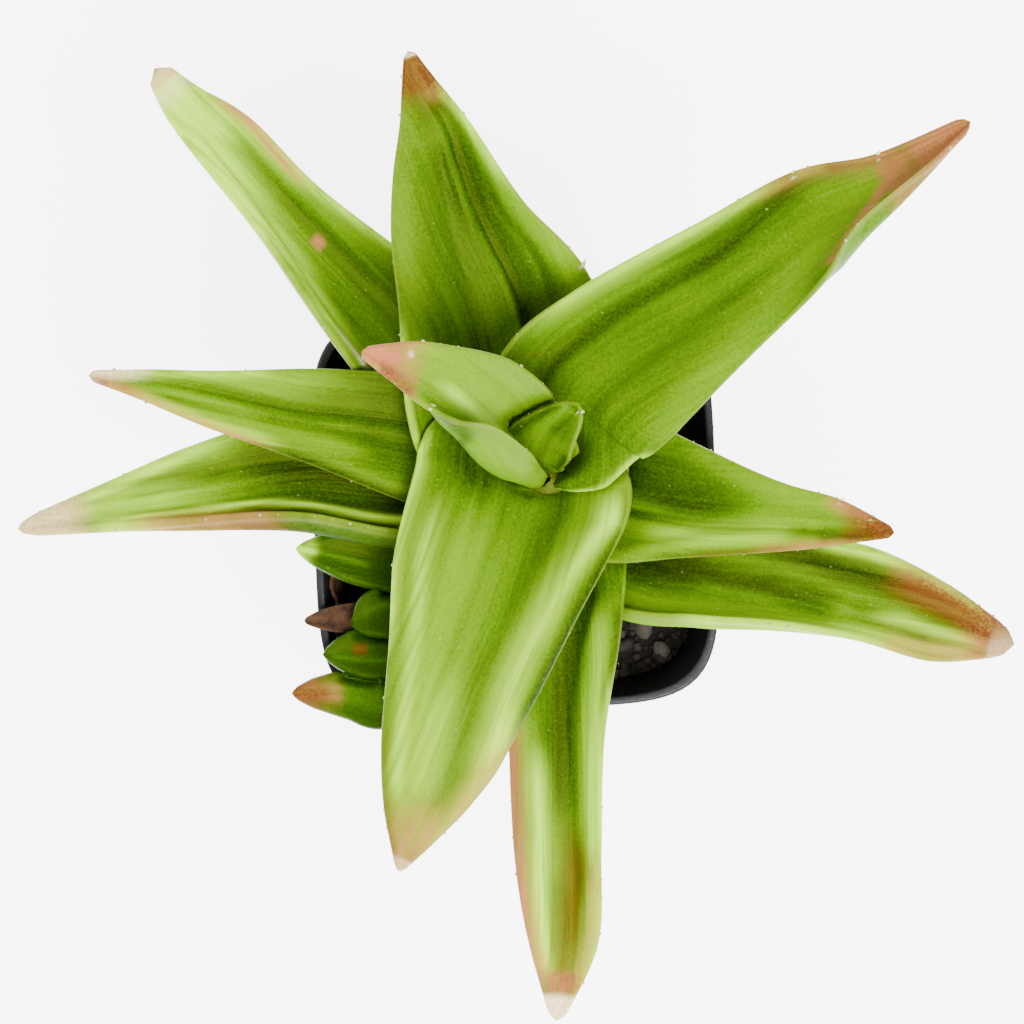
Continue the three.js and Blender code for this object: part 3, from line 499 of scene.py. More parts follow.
    ),
    LeafPlan(
        name="lower_right_leaf",
        node="leaf_lower_right",
        thickness=4.4,
        margin=1.3,
        stations=(
            Station((-2, 1, 55), (6, 40, 40), (6, 40, 40)),
            Station((15.5, -9.5, 59), (8.5, 30, 30), (4.6, 35, 80)),
            Station((27, -12, 61.5), (10, 24, 10), (3.5, 35, 90)),
            Station((38.5, -13, 63), (9, 20, 0), (3.2, 35, 80)),
            Station((50, -15, 63.5), (8.8, 20, -5), (3.2, 35, 50)),
            Station((61.5, -17, 62.5), (5.4, 16, 0), (4.6, 20, 20)),
            Station((71.6, -19.5, 61), (1.2, 10, 10), (1.7, 10, 10)),
        ),
        folds=(
            fold(-0.5, (0.5, 2.4), (0.18, -0.25), (0.35, 0), (0.5, 0.05), (0.58, 0.15)),
            fold(-0.4, 1.4, (0.56, -0.55), (0.64, -0.5), (0.74, -0.5), (0.9, -0.5)),
            fold(0.35, 1, (0.5, -0.2), (0.66, 0), (0.8, 0.1), (0.9, 0.2)),
        ),
        marks=(
            mark(DEEP, (5, 3.5), 1, (0.1, -0.3), (0.2, -0.2), (0.3, -0.2), fade=0.1),
            mark(DEEP, (2.5, 1.6), 1, (0.24, -0.4), (0.35, -0.2), (0.46, -0.1), (0.57, 0.1)),
            mark(SHINE, 3.2, 0.85, (0.22, 0.7), (0.36, 0.65), (0.5, 0.7), (0.62, 0.8)),
            mark(PALE, 0.9, 0.5, (0.36, 1), (0.5, 1), (0.64, 1)),
            mark(DEEP, (2.6, 1.6), 1, (0.46, -0.75), (0.56, -0.62), (0.62, -0.52), (0.72, -0.5),
                 (0.84, -0.5), fade=0.07),
            mark(DEEP, 1.2, 0.5, (0.66, 0.28), (0.75, 0.35), (0.8, 0.5), fade=0.03),
            mark(SHINE, 2.2, 0.85, (0.57, 0.75), (0.62, 0.65), (0.68, 0.7), (0.75, 0.8), fade=0.07),
            mark(PALE, (0.9, 1.4), 0.5, (0.76, -0.02), (0.82, 0.15), (0.88, 0.2), (0.94, 0.3), fade=0.09),
            mark(PALE, 0.8, 0.8, (0.6, -0.95), (0.68, -0.95), (0.78, -1), (0.88, -1)),
            mark(BLUSH, 1.4, 0.5, (0.76, -0.9), (0.84, -0.85), (0.97, -0.8)),
            mark(BROWN, (2.8, 2.4), 1, (0.78, -0.6), (0.88, -0.5), (1, -0.35), fade=0.11),
            mark(DEEP, (1.2, 1.6), 0.35, (0.66, 0.3), (0.75, 0.3), fade=0.1),
            mark(BLUSH, 6, 0.75, (0.94, 0), (1, 0), fade=0.09),
            mark(BLUSH, 2, 0.5, (0.76, 1), (0.84, 0.9), (0.92, 0.8)),
            mark(PALE, 1, 0.5, (0.64, 0.9), (0.76, 0.85), (0.88, 0.8)),
            mark(CREAM, 2.5, 0.3, (0.97, 0.8), (1, 0.6), fade=0.02),
        ),
        slot="outer_leaf",
        tone=0.05,
    ),
    LeafPlan(
        name="lower_left_leaf",
        node="leaf_lower_left",
        thickness=5,
        margin=1.6,
        stations=(
            Station((12.5, 2.5, 55), (6, 30, 30), (6.5, 30, 30)),
            Station((-3.5, 3.5, 58.5), (7, 30, 60), (9, 24, 20)),
            Station((-17.5, 3.5, 61.5), (6.8, 30, 105), (8.5, 18, 10)),
            Station((-31, 4.5, 63.5), (5.6, 30, 115), (7.9, 10, 0)),
            Station((-45.5, 2, 65), (3.2, 30, 100), (6.5, 8, -10)),
            Station((-60, -0.5, 66), (1.8, 25, 50), (2.8, 10, -5)),
            Station((-70.9, -3, 67), (0.3, 10, 10), (0.3, 10, 10)),
        ),
        folds=(
            fold(0.4, 0.8, (0.34, -0.6), (0.45, -0.57), (0.55, -0.52), (0.64, -0.5), (0.75, -0.65)),
            fold(-0.3, 0.9, (0.5, 0.3), (0.62, 0.4), (0.76, 0.4)),
        ),
        marks=(
            mark(DEEP, 6, 1, (0.28, -0.3), (0.4, 0), (0.5, 0.1), (0.56, 0.25), fade=0.11),
            mark(DEEP, 2, 0.65, (0.58, 0.4), (0.66, 0.35), (0.74, 0.4), fade=0.07),
            mark(DEEP, (2.2, 1.6), 0.9, (0.34, -0.8), (0.5, -0.8), (0.58, -0.75)),
            mark(SHINE, 2, 0.7, (0.4, 0.9), (0.52, 0.9), (0.62, 0.9)),
            mark(PALE, (2.6, 3), 0.35, (0.74, 0), (0.8, 0.05), (0.9, 0.1), fade=0.12),
            mark(SHINE, 3, 0.5, (0.6, -0.1), (0.7, 0), (0.78, 0), fade=0.09),
            mark(PALE, 1.1, 0.7, (0.66, 0.97), (0.74, 0.9), (0.82, 0.9)),
            mark(PALE, 0.6, 0.7, (0.34, -0.6), (0.45, -0.57), (0.55, -0.52), (0.64, -0.5)),
            mark(PALE, 0.9, 0.7, (0.64, -0.6), (0.7, -0.75), (0.8, -0.9)),
            mark(BROWN, 1.4, 0.4, (0.56, -0.85), (0.63, -0.8), (0.7, -0.95), fade=0.07),
            mark(BLUSH, (1.2, 1), 0.5, (0.6, -0.95), (0.68, -0.9), (0.74, -1)),
            mark(BLUSH, 6, 0.5, (0.91, 0), (1, 0), fade=0.09),
            mark(CREAM, 6, 0.42, (0.93, 0), (1, 0), fade=0.11),
        ),
        slot="outer_leaf",
        tone=0.07,
    ),
)


# Small helpers


def smoothstep(value: np.ndarray, low: float, high: float) -> np.ndarray:
    """A smooth rise from 0 at low to 1 at high."""
    share = np.clip((value - low) / (high - low), 0, 1)
    return share * share * (3 - 2 * share)


def unit(vectors: np.ndarray) -> np.ndarray:
    """The vectors drawn out to a length of 1."""
    return vectors / np.maximum(np.linalg.norm(vectors, axis=-1, keepdims=True), 1e-9)


def catmull_rom(rows: np.ndarray, shares: np.ndarray) -> tuple[np.ndarray, np.ndarray]:
    """Follows the smooth curve through the rows.

    Args:
        rows: The values at evenly spaced shares of the curve, one row each.
        shares: Where to read the curve, from 0 to 1.

    Returns:
        The values at the shares, and their slopes.
    """
    last = len(rows) - 1
    place = np.clip(shares, 0, 1) * last
    index = np.minimum(np.floor(place).astype(int), last - 1)
    t = (place - index)[:, None]
    ends = np.vstack([2 * rows[0] - rows[1], rows, 2 * rows[-1] - rows[-2]])
    before, start, end, after = (ends[index + k] for k in range(4))
    slope_in = (end - before) / 2
    slope_out = (after - start) / 2
    square = -3 * start + 3 * end - 2 * slope_in - slope_out
    cube = 2 * start - 2 * end + slope_in + slope_out
    values = start + slope_in * t + square * t**2 + cube * t**3
    return values, slope_in + 2 * square * t + 3 * cube * t**2


def mesh_object(name: str, points: np.ndarray, faces: Sequence[Sequence[int]]) -> bpy.types.Object:
    """Makes a smooth-shaded object of closed shells with their faces pointing out.

    Args:
        name: The object's name.
        points: Its vertices in millimetres.
        faces: Its faces, as lists of vertex numbers.

    Returns:
        The object, linked to the scene.
    """
    mesh = bpy.data.meshes.new(name)
    mesh.from_pydata((np.asarray(points) * MM).tolist(), [], [list(face) for face in faces])
    mesh.polygons.foreach_set("use_smooth", [True] * len(mesh.polygons))
    mesh.update()
    made = bpy.data.objects.new(name, mesh)
    bpy.context.scene.collection.objects.link(made)
    if signed_volume(mesh) < 0:
        mesh.flip_normals()
    return made


def signed_volume(mesh: bpy.types.Mesh) -> float:
    """The volume that a mesh's faces enclose, negative where they point in."""
    mesh.calc_loop_triangles()
    points = np.empty(len(mesh.vertices) * 3)
    mesh.vertices.foreach_get("co", points)
    points = points.reshape(-1, 3)
    corners = np.empty(len(mesh.loop_triangles) * 3, dtype=int)
    mesh.loop_triangles.foreach_get("vertices", corners)
    a, b, c = (points[corners.reshape(-1, 3)[:, k]] for k in range(3))
    return float(np.einsum("ij,ij->i", a, np.cross(b, c)).sum() / 6)


def add_point_values(mesh: bpy.types.Mesh, name: str, values: np.ndarray) -> None:
    """Keeps one number for each vertex as an attribute."""
    attribute = mesh.attributes.new(name, "FLOAT", "POINT")
    attribute.data.foreach_set("value", np.asarray(values, dtype=np.float32).ravel())


def dress(piece: bpy.types.Object, material: bpy.types.Material, slot: str, *nodes: str) -> None:
    """Gives a piece its material and its body.

    Args:
        piece: The object.
        material: Its only material.
        slot: The record's material slot; not used.
        nodes: The solids that the piece stands for.
    """
    piece.data.materials.clear()
    piece.data.materials.append(material)
    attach(piece, BODY)
    if nodes:
        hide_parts(*nodes)
    log.info("%s: %d vertices", piece.name, len(piece.data.vertices))


class Tree:
    """A node tree that is written as one call for each node."""

    def __init__(self, tree: bpy.types.NodeTree) -> None:
        """Starts from an existing tree."""
        self.tree = tree

    def add(self, kind: str, inputs: dict[Any, Any] | None = None, **settings: Any) -> bpy.types.Node:
        """Adds a node.

        Args:
            kind: The node's type.
            inputs: Its inputs by name or number, each a value or another node's output.
            settings: Its own properties.

        Returns:
            The node.
        """
        node = self.tree.nodes.new(kind)
        for key, value in settings.items():
            setattr(node, key, value)
        for key, value in (inputs or {}).items():
            if isinstance(value, bpy.types.NodeSocket):
                self.tree.links.new(value, node.inputs[key])
            else:
                node.inputs[key].default_value = value
        return node

    def math(self, operation: str, *values: Any) -> bpy.types.NodeSocket:
        """The result of a sum on numbers or outputs."""
        return self.add("ShaderNodeMath", dict(enumerate(values)), operation=operation).outputs[0]

    def scaled(self, value: Any, low: float, high: float, new_low: float, new_high: float) -> Any:
        """The output of a clamped change of range."""
        inputs = {0: value, 1: low, 2: high, 3: new_low, 4: new_high}
        return self.add("ShaderNodeMapRange", inputs).outputs[0]


class Growth(Tree):
    """A geometry tree with named inputs, which turns a mesh into a finished piece."""

    KINDS = {int: "NodeSocketInt", float: "NodeSocketFloat", tuple: "NodeSocketVector"}

    def __init__(self, name: str, **values: Any) -> None:
        """Starts a tree.

        Args:
            name: The tree's name.
            values: The value of each input of the tree by its name; one of them is the Material.
        """
        super().__init__(bpy.data.node_groups.new(name, "GeometryNodeTree"))
        face = self.tree.interface
        face.new_socket("Geometry", in_out="INPUT", socket_type="NodeSocketGeometry")
        face.new_socket("Geometry", in_out="OUTPUT", socket_type="NodeSocketGeometry")
        self.material = values["Material"]
        self.values: dict[str, Any] = {}
        for label, value in values.items():
            kind = self.KINDS.get(type(value), "NodeSocketMaterial")
            socket = face.new_socket(label, in_out="INPUT", socket_type=kind)
            self.values[socket.identifier] = value
        self.inputs = self.add("NodeGroupInput").outputs
        self.spot = self.add("GeometryNodeInputPosition").outputs[0]

    def vector(self, operation: str, *values: Any) -> Any:
        """The vector result of a sum on vectors."""
        node = self.add("ShaderNodeVectorMath", operation=operation)
        for number, value in enumerate(values):
            socket = node.inputs["Scale"] if operation == "SCALE" and number else node.inputs[number]
            if isinstance(value, bpy.types.NodeSocket):
                self.tree.links.new(value, socket)
            else:
                socket.default_value = value
        return node.outputs[0]

    def parts(self, vector: Any) -> Any:
        """The three numbers of a vector."""
        return self.add("ShaderNodeSeparateXYZ", {0: vector}).outputs

    def joined(self, x: Any, y: Any, z: Any) -> Any:
        """The vector of three numbers."""
        return self.add("ShaderNodeCombineXYZ", {0: x, 1: y, 2: z}).outputs[0]

    def random(self, low: Any, high: Any, seed: Any) -> Any:
        """A random number, or a random vector where the bounds are vectors."""
        if isinstance(low, tuple):
            inputs = {0: low, 1: high, "Seed": seed}
            return self.add("FunctionNodeRandomValue", inputs, data_type="FLOAT_VECTOR").outputs[0]
        inputs = {2: low, 3: high, "Seed": seed}
        return self.add("FunctionNodeRandomValue", inputs, data_type="FLOAT").outputs[1]

    def bumps(self, size: float, detail: float = 2) -> Any:
        """A noise from about -0.5 to 0.5 with features of a size in millimetres."""
        inputs = {"Vector": self.spot, "Scale": 1 / (size * MM), "Detail": detail}
        return self.math("SUBTRACT", self.add("ShaderNodeTexNoise", inputs).outputs[0], 0.5)

    def moved(self, geometry: Any, **inputs: Any) -> Any:
        """The geometry with its points set to a new position, or shifted by an offset."""
        return self.add("GeometryNodeSetPosition", {"Geometry": geometry, **inputs}).outputs[0]

    def uneven(self, geometry: Any, waves: Triple, height: float) -> Any:
        """The geometry with its points shifted in x, y and z by noises with waves in millimetres."""
        shift = self.vector("SCALE", self.joined(*(self.bumps(wave) for wave in waves)), height * MM)
        return self.moved(geometry, Offset=shift)

    def line(self) -> Any:
        """The mesh that the tree starts from, as a curve."""
        return self.add("GeometryNodeMeshToCurve", {0: self.inputs["Geometry"]}).outputs[0]

    def balls(self, points: Any, detail: int, **inputs: Any) -> Any:
        """A ball on each of the points."""
        shape = {"Radius": 1.0, "Subdivisions": detail}
        ball = self.add("GeometryNodeMeshIcoSphere", shape).outputs["Mesh"]
        inputs = {"Points": points, "Instance": ball, **inputs}
        return self.add("GeometryNodeInstanceOnPoints", inputs).outputs[0]

    def radius(self, seed: Any, power: float) -> Any:
        """A random radius between the tree's smallest and largest one, the rarer the larger."""
        share = self.math("POWER", self.random(0.0, 1.0, seed), power)
        return self.scaled(share, 0, 1, self.inputs["Smallest"], self.inputs["Largest"])

    def close(self, geometry: Any) -> None:
        """Ends the tree with plain, smooth-shaded geometry in the material of its input."""
        plain = self.add("GeometryNodeRealizeInstances", {0: geometry}).outputs[0]
        smooth = self.add("GeometryNodeSetShadeSmooth", {0: plain}).outputs[0]
        painted = self.add("GeometryNodeSetMaterial", {0: smooth, "Material": self.inputs["Material"]})
        self.add("NodeGroupOutput", {0: painted.outputs[0]})

    def grow(self, name: str, source: bpy.types.Mesh) -> bpy.types.Object:
        """Runs the tree on a mesh.

        Args:
            name: The name of the piece.
            source: The mesh that the tree starts from.

        Returns:
            The piece as a plain object.
        """
        made = bpy.data.objects.new(name, source)
        bpy.context.scene.collection.objects.link(made)
        modifier = made.modifiers.new(self.tree.name, "NODES")
        modifier.node_group = self.tree
        for identifier, value in self.values.items():
            modifier[identifier] = value
        graph = bpy.context.evaluated_depsgraph_get()
        mesh = bpy.data.meshes.new_from_object(made.evaluated_get(graph), depsgraph=graph)
        made.modifiers.clear()
        made.data = mesh
        if signed_volume(mesh) < 0:
            mesh.flip_normals()
        return made


class Shader(Tree):
    """The nodes of one material."""

    def __init__(self, name: str) -> None:
        """Starts an empty material."""
        self.material = bpy.data.materials.new(name)
        self.material.use_nodes = True
        super().__init__(self.material.node_tree)
        self.tree.nodes.clear()
        self.place = self.add("ShaderNodeTexCoord").outputs["Object"]

    def noise(self, vector: Any, scale: float, detail: float = 3, roughness: float = 0.5) -> Any:
        """The factor of a noise texture."""
        inputs = {"Vector": vector, "Scale": scale, "Detail": detail, "Roughness": roughness}
        return self.add("ShaderNodeTexNoise", inputs).outputs[0]

    def stretched(self, vector: Any, scale: Triple, offset: Triple = (0, 0, 0)) -> Any:
        """The vector, scaled and moved."""
        inputs = {"Vector": vector, "Scale": scale, "Location": offset}
        return self.add("ShaderNodeMapping", inputs).outputs[0]

    def attribute(self, name: str) -> Any:
        """A number kept on the mesh."""
        return self.add("ShaderNodeAttribute", attribute_name=name).outputs["Fac"]

    def mixed(self, share: Any, first: Any, second: Any) -> Any:
        """A colour between two others."""
        inputs = {0: share, 6: opaque(first), 7: opaque(second)}
        return self.add("ShaderNodeMix", inputs, data_type="RGBA").outputs[2]

    def ramp(self, value: Any, *stops: tuple[float, Colour]) -> Any:
        """A colour that follows a value through its stops."""
        node = self.add("ShaderNodeValToRGB", {0: value})
        elements = node.color_ramp.elements
        while len(elements) < len(stops):
            elements.new(0.5)
        for element, (position, colour) in zip(elements, stops):
            element.position = position
            element.color = opaque(colour)
        return node.outputs[0]

    def finish(self, colour: Any, roughness: Any, height: Any, depth: float, **sockets: Any) -> Any:
        """Closes the material.

        Args:
            colour: The base colour.
            roughness: The roughness.
            height: The height of its relief, from 0 to 1.
            depth: The depth of the relief in millimetres.
            sockets: Other inputs of the shader, with underscores for the spaces in their names.

        Returns:
            The material.
        """
        bump = self.add("ShaderNodeBump", {"Height": height, "Distance": depth * MM, "Strength": 1.0})
        inputs = {"Base Color": opaque(colour), "Roughness": roughness, "Normal": bump.outputs[0]}
        inputs.update({name.replace("_", " "): value for name, value in sockets.items()})
        surface = self.add("ShaderNodeBsdfPrincipled", inputs).outputs[0]
        self.add("ShaderNodeOutputMaterial", {"Surface": surface})
        return self.material


def opaque(colour: Any) -> Any:
    """A colour with its opacity, or an output as it is."""
    if isinstance(colour, bpy.types.NodeSocket):
        return colour
    return (*colour[:3], 1.0)


# Finishes


@dataclass(frozen=True)
class LeafFinish:
    """The skin of a leaf: a striped, grainy green with coloured places, painted shade and painted highlights.

    Its tone, from 0 to 1, runs through the five greens from shade to bright at the stops.
    """

    STOPS: ClassVar[tuple[float, ...]] = (0.0, 0.14, 0.40, 0.62, 1.0)
    FINE: ClassVar[Triple] = (120, 4, 1)
    BROAD: ClassVar[Triple] = (34, 2.2, 1)
    BLOTCH: ClassVar[float] = 95
    GRAIN: ClassVar[float] = 2400
    SPECKS: ClassVar[Spot] = (0.79, 0.84)
    SPECK_STRENGTH: ClassVar[float] = 0.4

    name: str
    shade: Colour = (0.003, 0.010, 0.000)
    deep: Colour = (0.010, 0.030, 0.000)
    middle: Colour = (0.034, 0.086, 0.000)
    light: Colour = (0.071, 0.156, 0.000)
    bright: Colour = (0.135, 0.270, 0.000)
    margin: Colour = (0.120, 0.175, 0.008)
    pale: Colour = (0.360, 0.640, 0.020)
    cream: Colour = (0.780, 0.600, 0.340)
    blush: Colour = (0.340, 0.100, 0.048)
    brown: Colour = (0.085, 0.018, 0.004)
    spine: Colour = (0.720, 0.660, 0.420)
    seed: float = 0.0
    stripe: float = 0.38
    tone: float = 0.0

    def material(self) -> bpy.types.Material:
        """Builds the material."""
        s = Shader(self.name)
        across_along = s.add("ShaderNodeUVMap", uv_map=Blade.UV).outputs[0]
        fine = s.noise(s.stretched(across_along, self.FINE, (0, 0, self.seed)), 1.0, 4, 0.6)
        broad = s.noise(s.stretched(across_along, self.BROAD, (0, 0, self.seed + 7)), 1.0, 2)
        blotch = s.noise(s.place, self.BLOTCH, 2)
        grain = s.noise(s.place, self.GRAIN, 2, 0.7)
        tone = s.math("MULTIPLY_ADD", fine, self.stripe, self.tone + 0.25 - 0.5 * self.stripe)
        # The shine cover lifts the tone as a painted highlight and the deep cover lowers it as painted shade.
        for source, weight in (
            (broad, 0.18),
            (blotch, 0.12),
            (s.attribute("shine"), 0.42),
            (s.attribute("deep"), -0.40),
            (s.attribute("underside"), 0.08),
            (s.scaled(grain, 0.3, 0.7, -1, 1), 0.10),
        ):
            tone = s.math("MULTIPLY_ADD", source, weight, tone)
        greens = (self.shade, self.deep, self.middle, self.light, self.bright)
        skin = s.ramp(tone, *zip(self.STOPS, greens))
        skin = s.mixed(s.math("MULTIPLY", s.attribute("margin"), fine), skin, self.margin)
        # Pale is partly the leaf's own streaking and partly a painted highlight on ridges and margins; blush,
        # brown and cream are its own colours.
        tint_layers = (
            (PALE, fine, self.pale),
            (BLUSH, fine, self.blush),
            (BROWN, grain, self.brown),
            (CREAM, grain, self.cream),
        )
        for tint, texture, colour in tint_layers:
            skin = s.mixed(self.wavering_cover(s, tint, texture), skin, colour)
        skin = s.mixed(s.attribute("spine"), skin, self.spine)
        specks = s.scaled(s.noise(s.place, self.GRAIN, 1, 0.4), *self.SPECKS, 0, self.SPECK_STRENGTH)
        skin = s.mixed(specks, skin, self.cream)
        roughness = s.scaled(grain, 0.3, 0.7, 0.36, 0.50)
        height = s.math("ADD", s.math("MULTIPLY", fine, 0.7), s.math("MULTIPLY", grain, 0.3))
        return s.finish(
            skin,
            roughness,
            height,
            0.22,
            Specular_IOR_Level=0.22,
            Specular_Tint=(0.62, 0.78, 0.06, 1.0),
            Subsurface_Weight=0.10,
            Subsurface_Radius=(1.0, 1.2, 0.1),
            Subsurface_Scale=0.0012,
        )

    @staticmethod
    def wavering_cover(s: Shader, tint: Tint, texture: Any) -> Any:
        """A tint's cover whose strength wavers with a texture."""
        wavering = s.math("MULTIPLY", s.attribute(tint.value), s.scaled(texture, 0.3, 0.7, 0.5, 1.5))
        return s.scaled(wavering, 0, 1, 0, 1)


@dataclass(frozen=True)
class CrumbFinish:
    """A rough, matt material whose tone differs from grain to grain."""

    name: str
    dark: Colour
    light: Colour
    roughness: float = 0.95

    def material(self) -> bpy.types.Material:
        """Builds the material."""
        s = Shader(self.name)
        cloud = s.math("MULTIPLY", s.noise(s.place, 900), 0.5)
        tone = s.math("MULTIPLY_ADD", s.attribute("tone"), 0.7, cloud)
        colour = s.ramp(tone, (0.15, self.dark), (1.0, self.light))
        return s.finish(colour, self.roughness, s.noise(s.place, 2600, 4), 0.25, Specular_IOR_Level=0.2)


@dataclass(frozen=True)
class PotFinish:
    """Black moulded plastic with dust and fine scuffs."""

    name: str = "pot_plastic"
    plastic: Colour = (0.008, 0.0085, 0.0095)
    dust: Colour = (0.042, 0.039, 0.035)

    def material(self) -> bpy.types.Material:
        """Builds the material."""
        s = Shader(self.name)
        cloud = s.noise(s.place, 60, 5, 0.65)
        scuff = s.noise(s.stretched(s.place, (1, 1, 14)), 260, 3, 0.7)
        dust = s.math("MULTIPLY", s.scaled(cloud, 0.5, 0.8, 0, 0.5), s.scaled(scuff, 0.35, 0.7, 0.3, 1))
        colour = s.mixed(dust, self.plastic, self.dust)
        roughness = s.scaled(scuff, 0.3, 0.7, 0.32, 0.52)
        return s.finish(colour, roughness, s.noise(s.place, 1500, 3), 0.05, Specular_IOR_Level=0.17)


# Blades


class Canopy:
    """The lowest underside of the leaves that are already in place, over a plan of the plant."""

    CELL = 0.5
    REACH = 90
    OPEN = 1e6

    def __init__(self) -> None:
        """Starts with an open sky."""
        size = int(2 * self.REACH / self.CELL)
        self.ceiling = np.full((size, size), self.OPEN)

    def cells(self, points: np.ndarray) -> tuple[np.ndarray, np.ndarray]:
        """The plan cells of some points."""
        index = np.clip(((points[..., :2] + self.REACH) / self.CELL).astype(int), 1, len(self.ceiling) - 2)
        return index[..., 0], index[..., 1]

    def cover(self, lower: np.ndarray) -> None:
        """Adds the lower face of a blade.

        Args:
            lower: Its grid of points in millimetres.
        """
        for axis in (0, 1):
            steps = np.linspace(0, 1, 4, endpoint=False)
            ahead = np.roll(lower, -1, axis)
            parts = [lower * (1 - t) + ahead * t for t in steps]
            stacked = np.stack(parts, axis + 1)
            shape = list(lower.shape)
            shape[axis] *= len(steps)
            lower = np.take(stacked.reshape(shape), np.arange(shape[axis] - len(steps) + 1), axis)
        np.minimum.at(self.ceiling, self.cells(lower), lower[..., 2])

    def drop(self, upper: np.ndarray, gap: float, deepest: float) -> np.ndarray:
        """How far a blade has to bend down to pass below what is in place.

        Args:
            upper: The grid of points of its upper face.
            gap: The clearance to keep.
            deepest: Past this overlap a point is taken to be above, not below.

        Returns:
            A grid of distances, 0 or less.
        """
        x, y = self.cells(upper)
        lowest = np.min([self.ceiling[x + i, y + j] for i in (-1, 0, 1) for j in (-1, 0, 1)], axis=0)
        need = lowest - gap - upper[..., 2]
        need[(need > 0) | (need < -deepest)] = 0
        eased = need.copy()
        for _ in range(Blade.EASING):
            padded = np.pad(eased, 1, mode="edge")
            rows = (padded[:-2, 1:-1] + padded[2:, 1:-1]) / 2
            columns = (padded[1:-1, :-2] + padded[1:-1, 2:]) / 2
            eased = np.minimum((2 * eased + rows + columns) / 4, need)
        return eased


